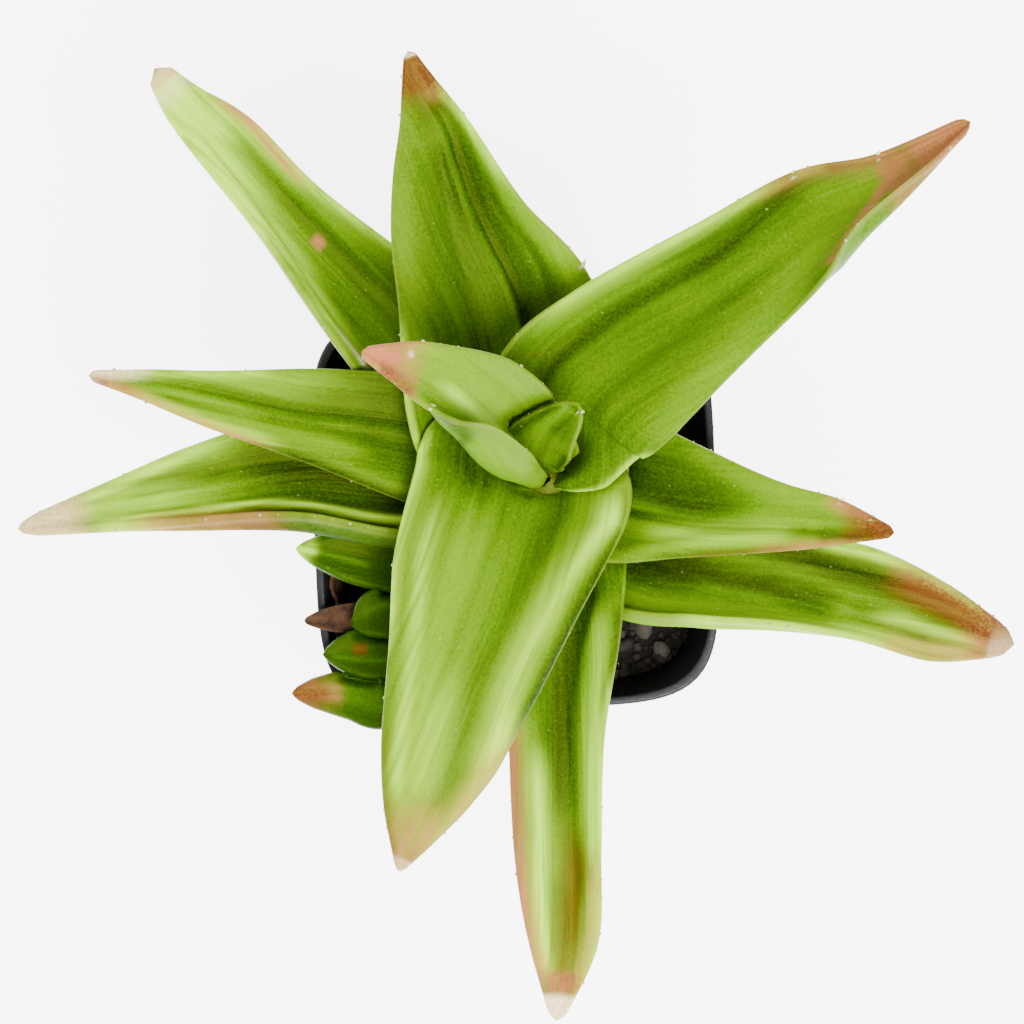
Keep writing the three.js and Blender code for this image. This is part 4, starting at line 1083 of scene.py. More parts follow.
class Blade:
    """One leaf as a closed surface: an upper and a lower face joined by rounded margins."""

    UV = "blade"
    RINGS = 110
    CELLS = 20
    FINE = 8
    WING_REACH = 0.6
    STEADINESS = 0.8
    TIP_SHARE = 0.12
    CROWN = 2.2
    ROUND = 5
    GAP = 0.15
    THINNEST = 0.7
    DEEPEST = 7.0
    EASING = 14
    BASE_ROUNDING = 0.05
    LEAST_CLOSING = 0.05
    LEAST_WIDTH = 0.15
    TIP_REACH = 0.7
    TOOTHED_FROM = 0.3
    TOOTH_RINGS = 7
    TOOTH_SIDES = 8
    TOOTH_RADIUS = 0.55
    TOOTH_TIP = 0.04
    TOOTH_SINK = 0.4
    TOOTH_LEAN = 0.7
    TOOTH_LENGTHENING = 1.3

    def __init__(self, plan: LeafPlan, rings: int = RINGS, cells: int = CELLS) -> None:
        """Works out the leaf's faces from its stations.

        Args:
            plan: The leaf.
            rings: The number of steps along it.
            cells: The number of steps from the trough to a margin.
        """
        self.plan = plan
        self.along = np.linspace(0, 1, rings + 1)
        rows = np.array([[*st.at, *st.left, *st.right] for st in plan.stations], dtype=float)
        values, slopes = catmull_rom(rows, self.along)
        self.trough = values[:, :3]
        self.forward = unit(slopes[:, :3])
        heading = unit((rows[-1, :3] - rows[0, :3]) * (1, 1, 0))
        level = unit(self.forward * (1, 1, 0) + self.STEADINESS * heading)
        self.side = np.stack([level[:, 1], -level[:, 0], 0 * level[:, 0]], axis=-1)
        self.up = unit(np.cross(self.side, self.forward))
        share = np.linspace(0, 1, cells + 1)
        closing = np.sqrt(1 - (1 - np.clip(self.along / self.BASE_ROUNDING, 0, 1)) ** 2)
        closing = np.maximum(closing, self.LEAST_CLOSING)[:, None]
        left = self.half(-1, values[:, 3:6], closing, cells)
        right = self.half(1, values[:, 6:9], closing, cells)
        self.across = np.concatenate([-share[:0:-1], share])
        self.upper = np.concatenate([left[0][:, :0:-1], right[0]], axis=1)
        self.inward = np.concatenate([left[1][:, :0:-1], right[1]], axis=1)
        self.margins = (left[2], right[2])
        body = plan.thickness * ((1 - self.along**3) ** 0.6 * (1 - self.along / 4) + self.TIP_SHARE)
        body = body[:, None] * closing
        edge = np.minimum(plan.margin * closing, body)
        self.thick = edge + (body - edge) * (1 - np.abs(self.across) ** self.CROWN)
        self.lower = self.upper - self.inward * self.thick[..., None]
        spans = np.linalg.norm(np.diff(self.upper, axis=1), axis=-1)
        self.girth = np.concatenate([np.zeros((len(spans), 1)), np.cumsum(spans, axis=1)], axis=1)
        self.relief = sum((self.spread(stroke) for stroke in plan.folds), np.zeros(self.thick.shape))
        self.upper = self.upper + self.inward * self.relief[..., None]

    def half(self, hand: int, values: np.ndarray, closing: np.ndarray, cells: int) -> tuple[np.ndarray, ...]:
        """Unrolls one half of every section.

        Args:
            hand: -1 for the left half, 1 for the right one.
            values: The half width and the slopes of the wing and the margin at every ring.
            closing: How far each ring is drawn out, which rounds the leaf's base.
            cells: The number of steps from the trough to the margin.

        Returns:
            The points, their inward directions and the margin's own way out.
        """
        steps = cells * self.FINE
        width = np.maximum(values[:, :1], self.LEAST_WIDTH) * closing
        wing, margin = np.radians(values[:, 1:2]), np.radians(values[:, 2:3])

        def slope(u: np.ndarray) -> np.ndarray:
            """The slope at a share of the way to the margin."""
            inner, outer = smoothstep(u, 0, self.WING_REACH), smoothstep(u, self.WING_REACH, 1)
            return wing * inner + (margin - wing) * outer

        middles = slope((np.arange(steps) + 0.5) / steps)
        start = np.zeros((len(width), 1))
        out = np.hstack([start, np.cumsum(np.cos(middles), axis=1)])
        rise = np.hstack([start, np.cumsum(np.sin(middles), axis=1)])
        scale = width / out.max(axis=1, keepdims=True)
        out, rise = (out * scale)[:, :: self.FINE, None], (rise * scale)[:, :: self.FINE, None]
        turn = slope(np.linspace(0, 1, cells + 1))[..., None]
        side, up = self.side[:, None] * hand, self.up[:, None]
        points = self.trough[:, None] + side * out + up * rise
        inward = -side * np.sin(turn) + up * np.cos(turn)
        onward = (side * np.cos(turn) + up * np.sin(turn))[:, -1]
        return points, inward, onward

    def spread(self, stroke: Stroke) -> np.ndarray:
        """How strongly a stroke covers each point of the upper face."""
        path = sorted(stroke.path)
        centre = np.interp(self.along, [spot[0] for spot in path], [spot[1] for spot in path])
        middle = np.array([np.interp(c, self.across, row) for c, row in zip(centre, self.girth)])
        distance = self.girth - middle[:, None]
        width = np.where(distance < 0, *stroke.widths)
        start, end = path[0][0], path[-1][0]
        rise = smoothstep(self.along, start - stroke.fade, start)
        fall = 1 - smoothstep(self.along, end, end + stroke.fade)
        return stroke.strength * np.exp(-((distance / width) ** 2)) * (rise * fall)[:, None]

    def nest(self, canopy: Canopy) -> None:
        """Bends the blade below the leaves in place, and adds it to them.

        Args:
            canopy: The leaves in place.
        """
        drop = canopy.drop(self.upper, self.GAP, self.DEEPEST)
        self.upper[..., 2] += drop
        thinnest = np.minimum(self.THINNEST, self.thick)
        self.lower[..., 2] = np.minimum(self.lower[..., 2], self.upper[..., 2] - thinnest)
        canopy.cover(self.lower)

    def tint_cover(self, tint: Tint) -> np.ndarray:
        """How strongly a tint covers each point of the upper face."""
        cover = np.zeros(self.upper.shape[:2])
        for stroke in self.plan.marks:
            if stroke.tint is tint:
                cover = np.maximum(cover, self.spread(stroke))
        return cover

    def cap(self, column: int, onward: np.ndarray) -> np.ndarray:
        """The rounded margin, from the upper face to the lower one."""
        top, bottom = self.upper[:, column], self.lower[:, column]
        radius = (top - bottom) / 2
        reach = onward * np.linalg.norm(radius, axis=-1, keepdims=True)
        angles = np.arange(1, self.ROUND + 1) * math.pi / (self.ROUND + 1)
        rows = [(top + bottom) / 2 + radius * math.cos(a) + reach * math.sin(a) for a in angles]
        return np.stack(rows, axis=1)

    def ring_values(
        self, grid: np.ndarray, lower: float | None = None, margin: float | None = None
    ) -> np.ndarray:
        """A number for every vertex of the closed surface from a grid on the upper face.

        Args:
            grid: The numbers on the upper face.
            lower: The number on the lower face, or None where it repeats the upper one.
            margin: The number on the margins, or None where it lies between the two faces.

        Returns:
            One number for each vertex, the two poles last.
        """
        under = grid if lower is None else np.full(grid.shape, lower)
        right = np.repeat((grid[:, -1:] + under[:, -1:]) / 2, self.ROUND, axis=1)
        left = np.repeat((grid[:, :1] + under[:, :1]) / 2, self.ROUND, axis=1)
        if margin is not None:
            right, left = np.full(right.shape, margin), np.full(left.shape, margin)
        loop = np.concatenate([grid, right, under[:, ::-1], left], axis=1)
        return np.concatenate([loop.ravel(), [loop[0].mean(), loop[-1].mean()]])

    def shell(self) -> tuple[np.ndarray, list[list[int]]]:
        """The vertices and faces of the closed surface."""
        left, right = self.margins
        loop = np.concatenate(
            [self.upper, self.cap(-1, right), self.lower[:, ::-1], self.cap(0, left)[:, ::-1]], axis=1
        )
        rings, around = loop.shape[:2]
        base = loop[0].mean(axis=0)
        reach = np.linalg.norm(loop[-1] - loop[-1].mean(axis=0), axis=-1).max()
        tip = loop[-1].mean(axis=0) + self.forward[-1] * reach * self.TIP_REACH
        points = np.vstack([loop.reshape(-1, 3), base, tip])
        at = np.arange(rings * around).reshape(rings, around)
        after = np.roll(at, -1, axis=1)
        quads = np.stack([at[:-1], after[:-1], after[1:], at[1:]], axis=-1).reshape(-1, 4)
        faces = quads.tolist()
        faces += [[rings * around, b, a] for a, b in zip(at[0].tolist(), after[0].tolist())]
        faces += [[rings * around + 1, a, b] for a, b in zip(at[-1].tolist(), after[-1].tolist())]
        return points, faces

    def edges(self) -> list[np.ndarray]:
        """The lines along both margins of the leaf's outer part."""
        start = int(self.TOOTHED_FROM * len(self.along))
        lines = []
        for column, out in ((0, self.margins[0]), (-1, self.margins[1])):
            middle = (self.upper[:, column] + self.lower[:, column]) / 2
            half = np.linalg.norm(self.upper[:, column] - self.lower[:, column], axis=-1, keepdims=True) / 2
            lines.append((middle + out * half)[start:-1])
        return lines

    def coordinates(self) -> np.ndarray:
        """The place of every vertex on the skin, across and along, in units of 100 mm."""
        steps = np.linalg.norm(np.diff(self.trough, axis=0), axis=-1)
        along = np.concatenate([[0], np.cumsum(steps)])[:, None] + 0 * self.upper[..., 0]
        across = self.girth - self.girth[:, [self.girth.shape[1] // 2]]
        return np.stack([self.ring_values(across), self.ring_values(along)], axis=-1) / 100

    def spine(self, spine: Spine) -> tuple[np.ndarray, list[list[int]]]:
        """A soft tooth that leans towards the tip.

        Args:
            spine: Its place, side and length.

        Returns:
            Its vertices and faces.
        """
        row = int(round(spine.along * (len(self.along) - 1)))
        column = -1 if spine.side > 0 else 0
        foot = (self.upper[row, column] + self.lower[row, column]) / 2
        out = self.margins[max(spine.side, 0)][row]
        ahead = self.forward[row]
        turns, sides = self.TOOTH_RINGS, self.TOOTH_SIDES
        points, faces = [], []
        across = np.cross(out, ahead)
        for i in range(turns):
            t = i / (turns - 1)
            centre = foot + out * (spine.length * t - self.TOOTH_SINK)
            centre = centre + ahead * spine.length * self.TOOTH_LEAN * t**2
            size = self.TOOTH_RADIUS * (1 - t) ** 0.8 + self.TOOTH_TIP
            for j in range(sides):
                angle = 2 * math.pi * j / sides
                round_it = math.cos(angle) * across + self.TOOTH_LENGTHENING * math.sin(angle) * ahead
                points.append(centre + size * round_it)
        for i in range(turns - 1):
            for j in range(sides):
                k = (j + 1) % sides
                faces.append([i * sides + j, i * sides + k, (i + 1) * sides + k, (i + 1) * sides + j])
        faces.append(list(range(sides))[::-1])
        faces.append([(turns - 1) * sides + j for j in range(sides)])
        return np.array(points), faces

    def build(self) -> bpy.types.Object:
        """Makes the object with its skin coordinates and the cover of each tint, painted shade and highlights
        among them.
        """
        points, faces = self.shell()
        uv = self.coordinates()
        values = {tint.value: self.ring_values(self.tint_cover(tint)) for tint in Tint}
        # The grooves of the folds are darkened as well: painted shade in the creases.
        valley = np.clip(-self.relief, 0, 1)
        values["deep"] = np.maximum(values["deep"], self.ring_values(valley))
        values["underside"] = self.ring_values(np.zeros(self.thick.shape), 1.0)
        values["margin"] = self.ring_values(np.zeros(self.thick.shape), 0.0, 1.0)
        values["spine"] = np.zeros(len(points))
        for spine in self.plan.spines:
            more, sides = self.spine(spine)
            faces += [[len(points) + k for k in face] for face in sides]
            points = np.vstack([points, more])
            tip = np.linspace(0.2, 1, len(more))
            uv = np.vstack([uv, np.repeat(uv[:1], len(more), axis=0)])
            for name, kept in values.items():
                values[name] = np.concatenate([kept, tip if name == "spine" else 0 * tip])
        made = mesh_object(self.plan.name, points, faces)
        layer = made.data.uv_layers.new(name=self.UV)
        corners = np.empty(len(made.data.loops), dtype=int)
        made.data.loops.foreach_get("vertex_index", corners)
        layer.data.foreach_set("uv", uv[corners].astype(np.float32).ravel())
        for name, kept in values.items():
            add_point_values(made.data, name, kept)
        return made


# Geometry trees


class Turning(Growth):
    """Sweeps a profile round an upright axis; its outline may be drawn out to a rounded square."""

    def __init__(self, name: str, material: bpy.types.Material, sides: int, square: float = 2.0,
                 turn: float = 0.0, centre: Triple = (0.0, 0.0, 0.0)) -> None:
        """Builds the tree.

        Args:
            name: The tree's name.
            material: The material of the piece.
            sides: The number of steps round the axis.
            square: 2 for a circle; the outline is squarer the larger this is.
            turn: How far the outline is turned about the axis, in degrees.
            centre: Where the axis stands, in millimetres.
        """
        super().__init__(
            name, Material=material, Sides=sides, Squareness=square, Turn=math.radians(turn),
            Centre=tuple(float(value) * MM for value in centre),
        )
        size = self.add("GeometryNodeAttributeDomainSize", {0: self.inputs["Geometry"]})
        count = size.outputs["Point Count"]
        steps = self.math("ADD", self.inputs["Sides"], 1)
        grid = self.add("GeometryNodeMeshGrid", {"Vertices X": steps, "Vertices Y": count}).outputs["Mesh"]
        index = self.add("GeometryNodeInputIndex").outputs[0]
        step = self.math("FLOOR", self.math("DIVIDE", self.math("ADD", index, 0.5), count))
        row = self.math("SUBTRACT", index, self.math("MULTIPLY", step, count))
        inputs = {"Geometry": self.inputs["Geometry"], "Value": self.spot, "Index": row}
        sampled = self.add("GeometryNodeSampleIndex", inputs, data_type="FLOAT_VECTOR", domain="POINT")
        reach, _, height = self.parts(sampled.outputs[0])
        angle = self.math("MULTIPLY", self.math("DIVIDE", step, self.inputs["Sides"]), 2 * math.pi)
        power = self.inputs["Squareness"]
        waves = [self.math("ABSOLUTE", self.math(kind, angle)) for kind in ("COSINE", "SINE")]
        shares = [self.math("POWER", wave, power) for wave in waves]
        stretch = self.math("POWER", self.math("ADD", *shares), self.math("DIVIDE", -1.0, power))
        away = self.math("MULTIPLY", reach, stretch)
        turned = self.math("ADD", angle, self.inputs["Turn"])
        x, y = (self.math("MULTIPLY", away, self.math(kind, turned)) for kind in ("COSINE", "SINE"))
        place = self.vector("ADD", self.joined(x, y, height), self.inputs["Centre"])
        swept = self.moved(grid, Position=place)
        merged = self.add("GeometryNodeMergeByDistance", {"Geometry": swept, "Distance": 1e-6}).outputs[0]
        self.close(self.shaped(merged))

    def shaped(self, geometry: Any) -> Any:
        """What else happens to the swept body."""
        return geometry


class DrilledTurning(Turning):
    """A swept body with four round holes through its floor."""

    RADIUS = 3.0
    SPACING = 24.0
    DEPTH = 8.0
    HOLE_SIDES = 32

    def shaped(self, geometry: Any) -> Any:
        """Drills the holes."""
        sizes = {"Vertices": self.HOLE_SIDES, "Radius": self.RADIUS * MM, "Depth": self.DEPTH * MM}
        drill = self.add("GeometryNodeMeshCylinder", sizes).outputs["Mesh"]
        span = self.SPACING * MM
        spots = {"Size X": span, "Size Y": span, "Vertices X": 2, "Vertices Y": 2}
        corners = self.add("GeometryNodeMeshGrid", spots).outputs["Mesh"]
        turn = self.joined(0.0, 0.0, self.inputs["Turn"])
        turned = self.add("GeometryNodeTransform", {"Geometry": corners, "Rotation": turn}).outputs[0]
        drills = self.add("GeometryNodeInstanceOnPoints", {"Points": turned, "Instance": drill}).outputs[0]
        drills = self.add("GeometryNodeRealizeInstances", {0: drills}).outputs[0]
        bodies = {"Mesh 1": geometry, "Mesh 2": drills}
        return self.add("GeometryNodeMeshBoolean", bodies, operation="DIFFERENCE").outputs[0]


class GroundTurning(Turning):
    """A swept body whose top is heaped at the axis and broken into clods."""

    HEAP = 2.0
    HEAP_REACH = 16.0
    CLODS = ((7.0, 3.0), (2.2, 1.4))
    EDGE_DROP = 0.7
    TOP_BAND = 0.5

    def __init__(self, brim: float, **settings: Any) -> None:
        """Builds the tree.

        Args:
            brim: The height of the top before it is broken, in millimetres.
            settings: What the swept body needs.
        """
        self.brim = brim
        super().__init__(**settings)

    def shaped(self, geometry: Any) -> Any:
        """Lifts and sinks the points of the top."""
        x, y, z = self.parts(self.spot)
        distance = self.math("SQRT", self.math("ADD", self.math("POWER", x, 2.0), self.math("POWER", y, 2.0)))
        share = self.math("POWER", self.math("DIVIDE", distance, self.HEAP_REACH * MM), 2.0)
        fading = self.math("EXPONENT", self.math("MULTIPLY", share, -1.0))
        lift = self.math("MULTIPLY", fading, self.HEAP * MM)
        for size, depth in self.CLODS:
            lift = self.math("ADD", lift, self.math("MULTIPLY", self.bumps(size, 3), depth * MM))
        lift = self.math("SUBTRACT", lift, self.EDGE_DROP * MM)
        top = self.math("GREATER_THAN", z, (self.brim - self.TOP_BAND) * MM)
        return self.moved(geometry, Selection=top, Offset=self.joined(0.0, 0.0, lift))


class Scatter(Growth):
    """Strews uneven grains over the upper side of a body."""

    TURN = 6.28
    FLATTEST = (0.6, 0.6, 0.45)
    FULLEST = (1.3, 1.3, 1.0)
    WAVES = (0.9, 1.2, 0.7)
    WOBBLE = 0.9

    def __init__(self, name: str, material: bpy.types.Material, density: float, sizes: Spot, lowest: float,
                 seed: int, detail: int = 1) -> None:
        """Builds the tree.

        Args:
            name: The tree's name.
            material: The grains' material.
            density: How many grains lie on a square millimetre.
            sizes: The smallest and the largest radius of a grain in millimetres.
            lowest: Nothing lies below this height in millimetres.
            seed: Which throw of the grains is taken.
            detail: How finely each grain is divided.
        """
        super().__init__(
            name, Material=material, Density=density / MM**2, Seed=seed,
            Smallest=sizes[0] * MM, Largest=sizes[1] * MM, Lowest=lowest * MM,
        )
        seed_input = self.inputs["Seed"]
        inputs = {
            "Mesh": self.inputs["Geometry"],
            "Selection": self.math("GREATER_THAN", self.parts(self.spot)[2], self.inputs["Lowest"]),
            "Density": self.inputs["Density"],
            "Seed": seed_input,
        }
        thrown = self.add("GeometryNodeDistributePointsOnFaces", inputs).outputs["Points"]
        tone = {"Geometry": thrown, "Name": "tone", "Value": self.random(0.0, 1.0, seed_input)}
        kept = self.add("GeometryNodeStoreNamedAttribute", tone, data_type="FLOAT", domain="POINT")
        twist = self.random((0.0, 0.0, 0.0), (self.TURN, self.TURN, self.TURN), seed_input)
        size = self.radius(self.math("ADD", seed_input, 3), 2.0)
        stretch = self.random(self.FLATTEST, self.FULLEST, seed_input)
        inputs = {
            "Rotation": self.add("FunctionNodeEulerToRotation", {0: twist}).outputs[0],
            "Scale": self.vector("SCALE", stretch, size),
        }
        strewn = self.balls(kept.outputs[0], detail, **inputs)
        plain = self.add("GeometryNodeRealizeInstances", {0: strewn}).outputs[0]
        self.close(self.uneven(plain, self.WAVES, self.WOBBLE))


class Sprouting(Growth):
    """Thickens a line into a stem."""

    WAVES = (4, 5, 6)
    SWELLING = 0.8

    def __init__(self, name: str, material: bpy.types.Material, radius: float, sides: int = 20) -> None:
        """Builds the tree.

        Args:
            name: The tree's name.
            material: The stem's material.
            radius: Its radius in millimetres.
            sides: The number of steps round it.
        """
        super().__init__(name, Material=material, Radius=radius * MM, Sides=sides)
        ring = {"Resolution": self.inputs["Sides"], "Radius": self.inputs["Radius"]}
        outline = self.add("GeometryNodeCurvePrimitiveCircle", ring).outputs[0]
        tube = {"Curve": self.line(), "Profile Curve": outline, "Fill Caps": True}
        stem = self.add("GeometryNodeCurveToMesh", tube).outputs[0]
        self.close(self.uneven(stem, self.WAVES, self.SWELLING))


class Fringe(Growth):
    """Sets small pale teeth along lines."""

    def __init__(self, material: bpy.types.Material, spacing: float, sizes: Spot, seed: int) -> None:
        """Builds the tree.

        Args:
            material: The teeth's material.
            spacing: The distance between two teeth in millimetres.
            sizes: The smallest and the largest radius of a tooth in millimetres.
            seed: Which throw of the sizes is taken.
        """
        super().__init__(
            "fringe", Material=material, Spacing=spacing * MM, Seed=seed,
            Smallest=sizes[0] * MM, Largest=sizes[1] * MM,
        )
        inputs = {"Curve": self.line(), "Length": self.inputs["Spacing"]}
        spots = self.add("GeometryNodeResampleCurve", inputs, mode="LENGTH").outputs[0]
        size = self.radius(self.inputs["Seed"], 4.0)
        self.close(self.balls(spots, 2, Scale=self.joined(size, size, size)))


# Sub-assemblies


def line_mesh(name: str, *lines: Sequence[Sequence[float]]) -> bpy.types.Mesh:
    """Open lines through points in millimetres, as a mesh of edges."""
    points = [[value * MM for value in point] for line in lines for point in line]
    edges = []
    start = 0
    for line in lines:
        edges += [(start + i, start + i + 1) for i in range(len(line) - 1)]
        start += len(line)
    mesh = bpy.data.meshes.new(name)
    mesh.from_pydata(points, edges, [])
    return mesh


def rounded(corners: Sequence[tuple[float, float, float]], steps: int = 5) -> list[Triple]:
    """A profile with its corners rounded.

    Args:
        corners: The reach, the height and the radius of each corner in millimetres.
        steps: The number of steps round a corner.

    Returns:
        The points of the profile, in the plane y = 0.
    """
    points: list[Triple] = []
    for i, (reach, height, radius) in enumerate(corners):
        corner = np.array((reach, height))
        if radius == 0 or i in (0, len(corners) - 1):
            points.append((reach, 0.0, height))
            continue
        back = unit(np.array(corners[i - 1][:2]) - corner)
        ahead = unit(np.array(corners[i + 1][:2]) - corner)
        half = math.acos(float(np.clip(back @ ahead, -1, 1))) / 2
        cut = radius / math.tan(half)
        for t in np.linspace(0, 1, steps + 1):
            spot = corner + back * cut * (1 - t) ** 2 + ahead * cut * t**2
            points.append((float(spot[0]), 0.0, float(spot[1])))
    return points


def joined(pieces: Sequence[bpy.types.Object]) -> bpy.types.Object:
    """Makes one object of several; the first one gives it its name."""
    first = pieces[0]
    with bpy.context.temp_override(active_object=first, selected_editable_objects=list(pieces)):
        bpy.ops.object.join()
    return first


@dataclass(frozen=True)
class Pot:
    """The square nursery pot with a stepped lip."""

    height: float = 56
    rim: float = 29.7
    base: float = 21.5
    wall: float = 1.2
    lip: float = 8
    step: float = 0.7
    floor: float = 1.6
    turn: float = 2
    square: float = 5.3
    sides: int = 160

    def outer(self, z: float) -> float:
        """The outer half width below the lip."""
        return self.base + (self.rim - self.step - self.base) * z / self.height

    def inner(self, z: float) -> float:
        """The inner half width."""
        lip_foot = self.height - self.lip
        foot = self.outer(lip_foot) - self.wall
        if z <= lip_foot:
            return self.outer(z) - self.wall
        return foot + (self.rim - self.wall - foot) * (z - lip_foot) / self.lip

    def build(self) -> None:
        """Sweeps the wall and drills the floor."""
        lip_foot = self.height - self.lip
        profile = rounded([
            (0, 0, 0),
            (self.outer(0), 0, 1.2),
            (self.outer(lip_foot), lip_foot, 0.35),
            (self.rim, lip_foot + self.step, 0.4),
            (self.rim, self.height, 0.45),
            (self.inner(self.height), self.height, 0.4),
            (self.inner(lip_foot), lip_foot, 3),
            (self.inner(self.floor), self.floor, 1.2),
            (0, self.floor, 0),
        ])
        tree = DrilledTurning("pot_sweep", PotFinish().material(), self.sides, self.square, self.turn)
        dress(tree.grow("square_pot", line_mesh("pot_profile", profile)), tree.material, "pot", "pot")


@dataclass(frozen=True)
class Soil:
    """The soil in the pot, with its crumbs, stones and grits."""

    pot: Pot = Pot()
    depth: float = 8.5
    clearance: float = 0.3
    shoulder: float = 3
    sink: float = 0.4
    rings: int = 44
    sides: int = 180
    crumb: CrumbFinish = CrumbFinish("soil_crumb", (0.0018, 0.0014, 0.0010), (0.019, 0.014, 0.009))
    stone: CrumbFinish = CrumbFinish("soil_stone", (0.005, 0.0042, 0.0037), (0.056, 0.047, 0.038))
    grit: CrumbFinish = CrumbFinish("soil_grit", (0.090, 0.076, 0.058), (0.300, 0.265, 0.220))

    def build(self) -> None:
        """Fills the pot and strews the grains."""
        brim = self.pot.height - self.depth
        floor = self.pot.floor + self.clearance
        shoulder = brim - self.shoulder
        profile = [(0, 0, floor)]
        profile += [(self.pot.inner(z) - self.clearance, 0, z) for z in (floor, shoulder)]
        top = self.pot.inner(brim) - self.clearance
        profile += [(top * share, 0, brim) for share in np.linspace(1, 0, self.rings)]
        earth = self.crumb.material()
        tree = GroundTurning(
            brim - self.sink, name="soil_ground", material=earth, sides=self.sides,
            square=self.pot.square, turn=self.pot.turn,
        )
        bed = tree.grow("soil_bed", line_mesh("soil_profile", profile))
        for throw in (
            Scatter("soil_crumbs", earth, 0.95, (0.25, 1.1), shoulder, seed=11),
            Scatter("soil_stones", self.stone.material(), 0.07, (0.6, 1.7), shoulder, seed=23, detail=2),
            Scatter("soil_grits", self.grit.material(), 0.05, (0.12, 0.45), shoulder, seed=37),
        ):
            dress(throw.grow(throw.tree.name, bed.data.copy()), throw.material, "soil")
        dress(bed, earth, "soil", "soil")


@dataclass(frozen=True)
class Stem:
    """The short, ringed stem under the rosette."""

    at: Spot = (4.5, 4)
    foot: float = 41
    top: float = 64.5
    shoulder: float = 63
    heights: tuple[float, ...] = (41, 51, 57, 63)
    radii: tuple[float, ...] = (5, 4.4, 4.8, 3.6)
    crown: float = 1.6
    scars: int = 9
    scar_depth: float = 0.22
    rings: int = 120
    sides: int = 48
    finish: LeafFinish = LeafFinish(
        "stem_skin",
        deep=(0.020, 0.028, 0.003),
        middle=(0.042, 0.055, 0.005),
        light=(0.080, 0.100, 0.012),
    )

    def build(self) -> None:
        """Sweeps the stem with the scars of its fallen leaves."""
        heights = np.linspace(self.foot, self.shoulder, self.rings)
        phase = (heights - self.foot) / (self.top - self.foot) * self.scars * 2 * math.pi
        radii = np.interp(heights, self.heights, self.radii) + self.scar_depth * np.cos(phase)
        profile = [(0, 0, self.foot)]
        profile += [(float(r), 0, float(z)) for r, z in zip(radii, heights)]
        profile += [(self.crown, 0, self.top), (0, 0, self.top)]
        tree = Turning("stem_sweep", self.finish.material(), self.sides, centre=(*self.at, 0))
        dress(tree.grow("main_stem", line_mesh("stem_profile", profile)), tree.material, "stem", "stem")


SMALL_BASE = 1.4
SHOOT_PATH = ((-5.5, -8, 43), (-7, -10, 50), (-9.5, -16, 55), (-10.5, -21.5, 57.5), (-11, -25, 59))


def small_leaf(name: str, base: Triple, *rest: tuple[float, float, float, float], thickness: float = 3.6,
               wing: float = 12, marks: tuple[Stroke, ...] = ()) -> LeafPlan:
    """The plan of a small leaf from its base and from stations with their half width."""
    stations = []
    for x, y, z, width in ((*base, SMALL_BASE), *rest):
        stations.append(Station((x, y, z), (width, wing, wing), (width, wing, wing)))
    return LeafPlan(
        name, "offset_shoot", thickness, tuple(stations), margin=thickness / 2, marks=marks, slot="offset"
    )


# The shine strokes on these small leaves are painted highlights.
SHOOT_LEAVES = (
    small_leaf(
        "shoot_leaf_back", (-9, -12, 55), (-17.5, -8.5, 58.5, 3.1), (-24, -7, 60, 2.9),
        (-31.6, -6, 60.5, 0.3),
        marks=(
            mark(SHINE, 0.5, 0.9, (0.55, -0.3), (0.9, -0.1)),
            mark(PALE, 0.9, 0.8, (0.93, 0), (1, 0)),
        ),
    ),
    small_leaf(
        "shoot_leaf_blunt", (-9.5, -16, 56), (-17, -15.3, 59, 2.8), (-20.6, -15.6, 59.8, 2.5),
        (-23.2, -16.7, 60, 1.1),
        marks=(
            mark(SHINE, 0.8, 0.7, (0.4, 0.4), (0.8, 0.3)),
        ),
    ),
    small_leaf(
        "shoot_leaf_middle", (-10, -20, 56), (-17.5, -21, 58.2, 3), (-22.5, -21.3, 58.8, 2.8),
        (-27.8, -21.5, 59, 0.3),
        marks=(
            mark(BROWN, 0.8, 0.9, (0.62, 0.2), (0.72, 0.2), fade=0.03),
            mark(SHINE, 0.5, 0.7, (0.4, -0.4), (0.9, -0.3)),
        ),
    ),
    small_leaf(
        "shoot_leaf_front", (-10.5, -24, 58), (-18.5, -28.3, 60.6, 2.8), (-24.5, -27.3, 60.5, 2.6),
        (-32.2, -27.1, 60.5, 0.3),
        marks=(
            mark(BROWN, 1.4, 0.75, (0.82, 0.1), (1, 0)),
            mark(BLUSH, 1.6, 0.5, (0.74, 0), (1, 0)),
            mark(SHINE, 2.5, 0.9, (0.2, 0), (0.8, 0.1)),
        ),
    ),
    small_leaf("shoot_leaf_inner", (-9.5, -17, 56), (-5, -19, 59, 2.6), (-1.5, -20, 60, 2.2),
               (3, -20.5, 61, 0.4)),
    small_leaf("shoot_leaf_right", (-10.5, -23, 57), (-6, -26, 60, 2.6), (-2.5, -27.5, 61, 2.2),
               (1.5, -29, 61.5, 0.4)),
    small_leaf("shoot_leaf_tip", (-11, -24.5, 58.5), (-12, -28.6, 61.5, 2.2), (-12.5, -30.5, 63, 1.8),
               (-13, -32.5, 64.5, 0.3)),
)


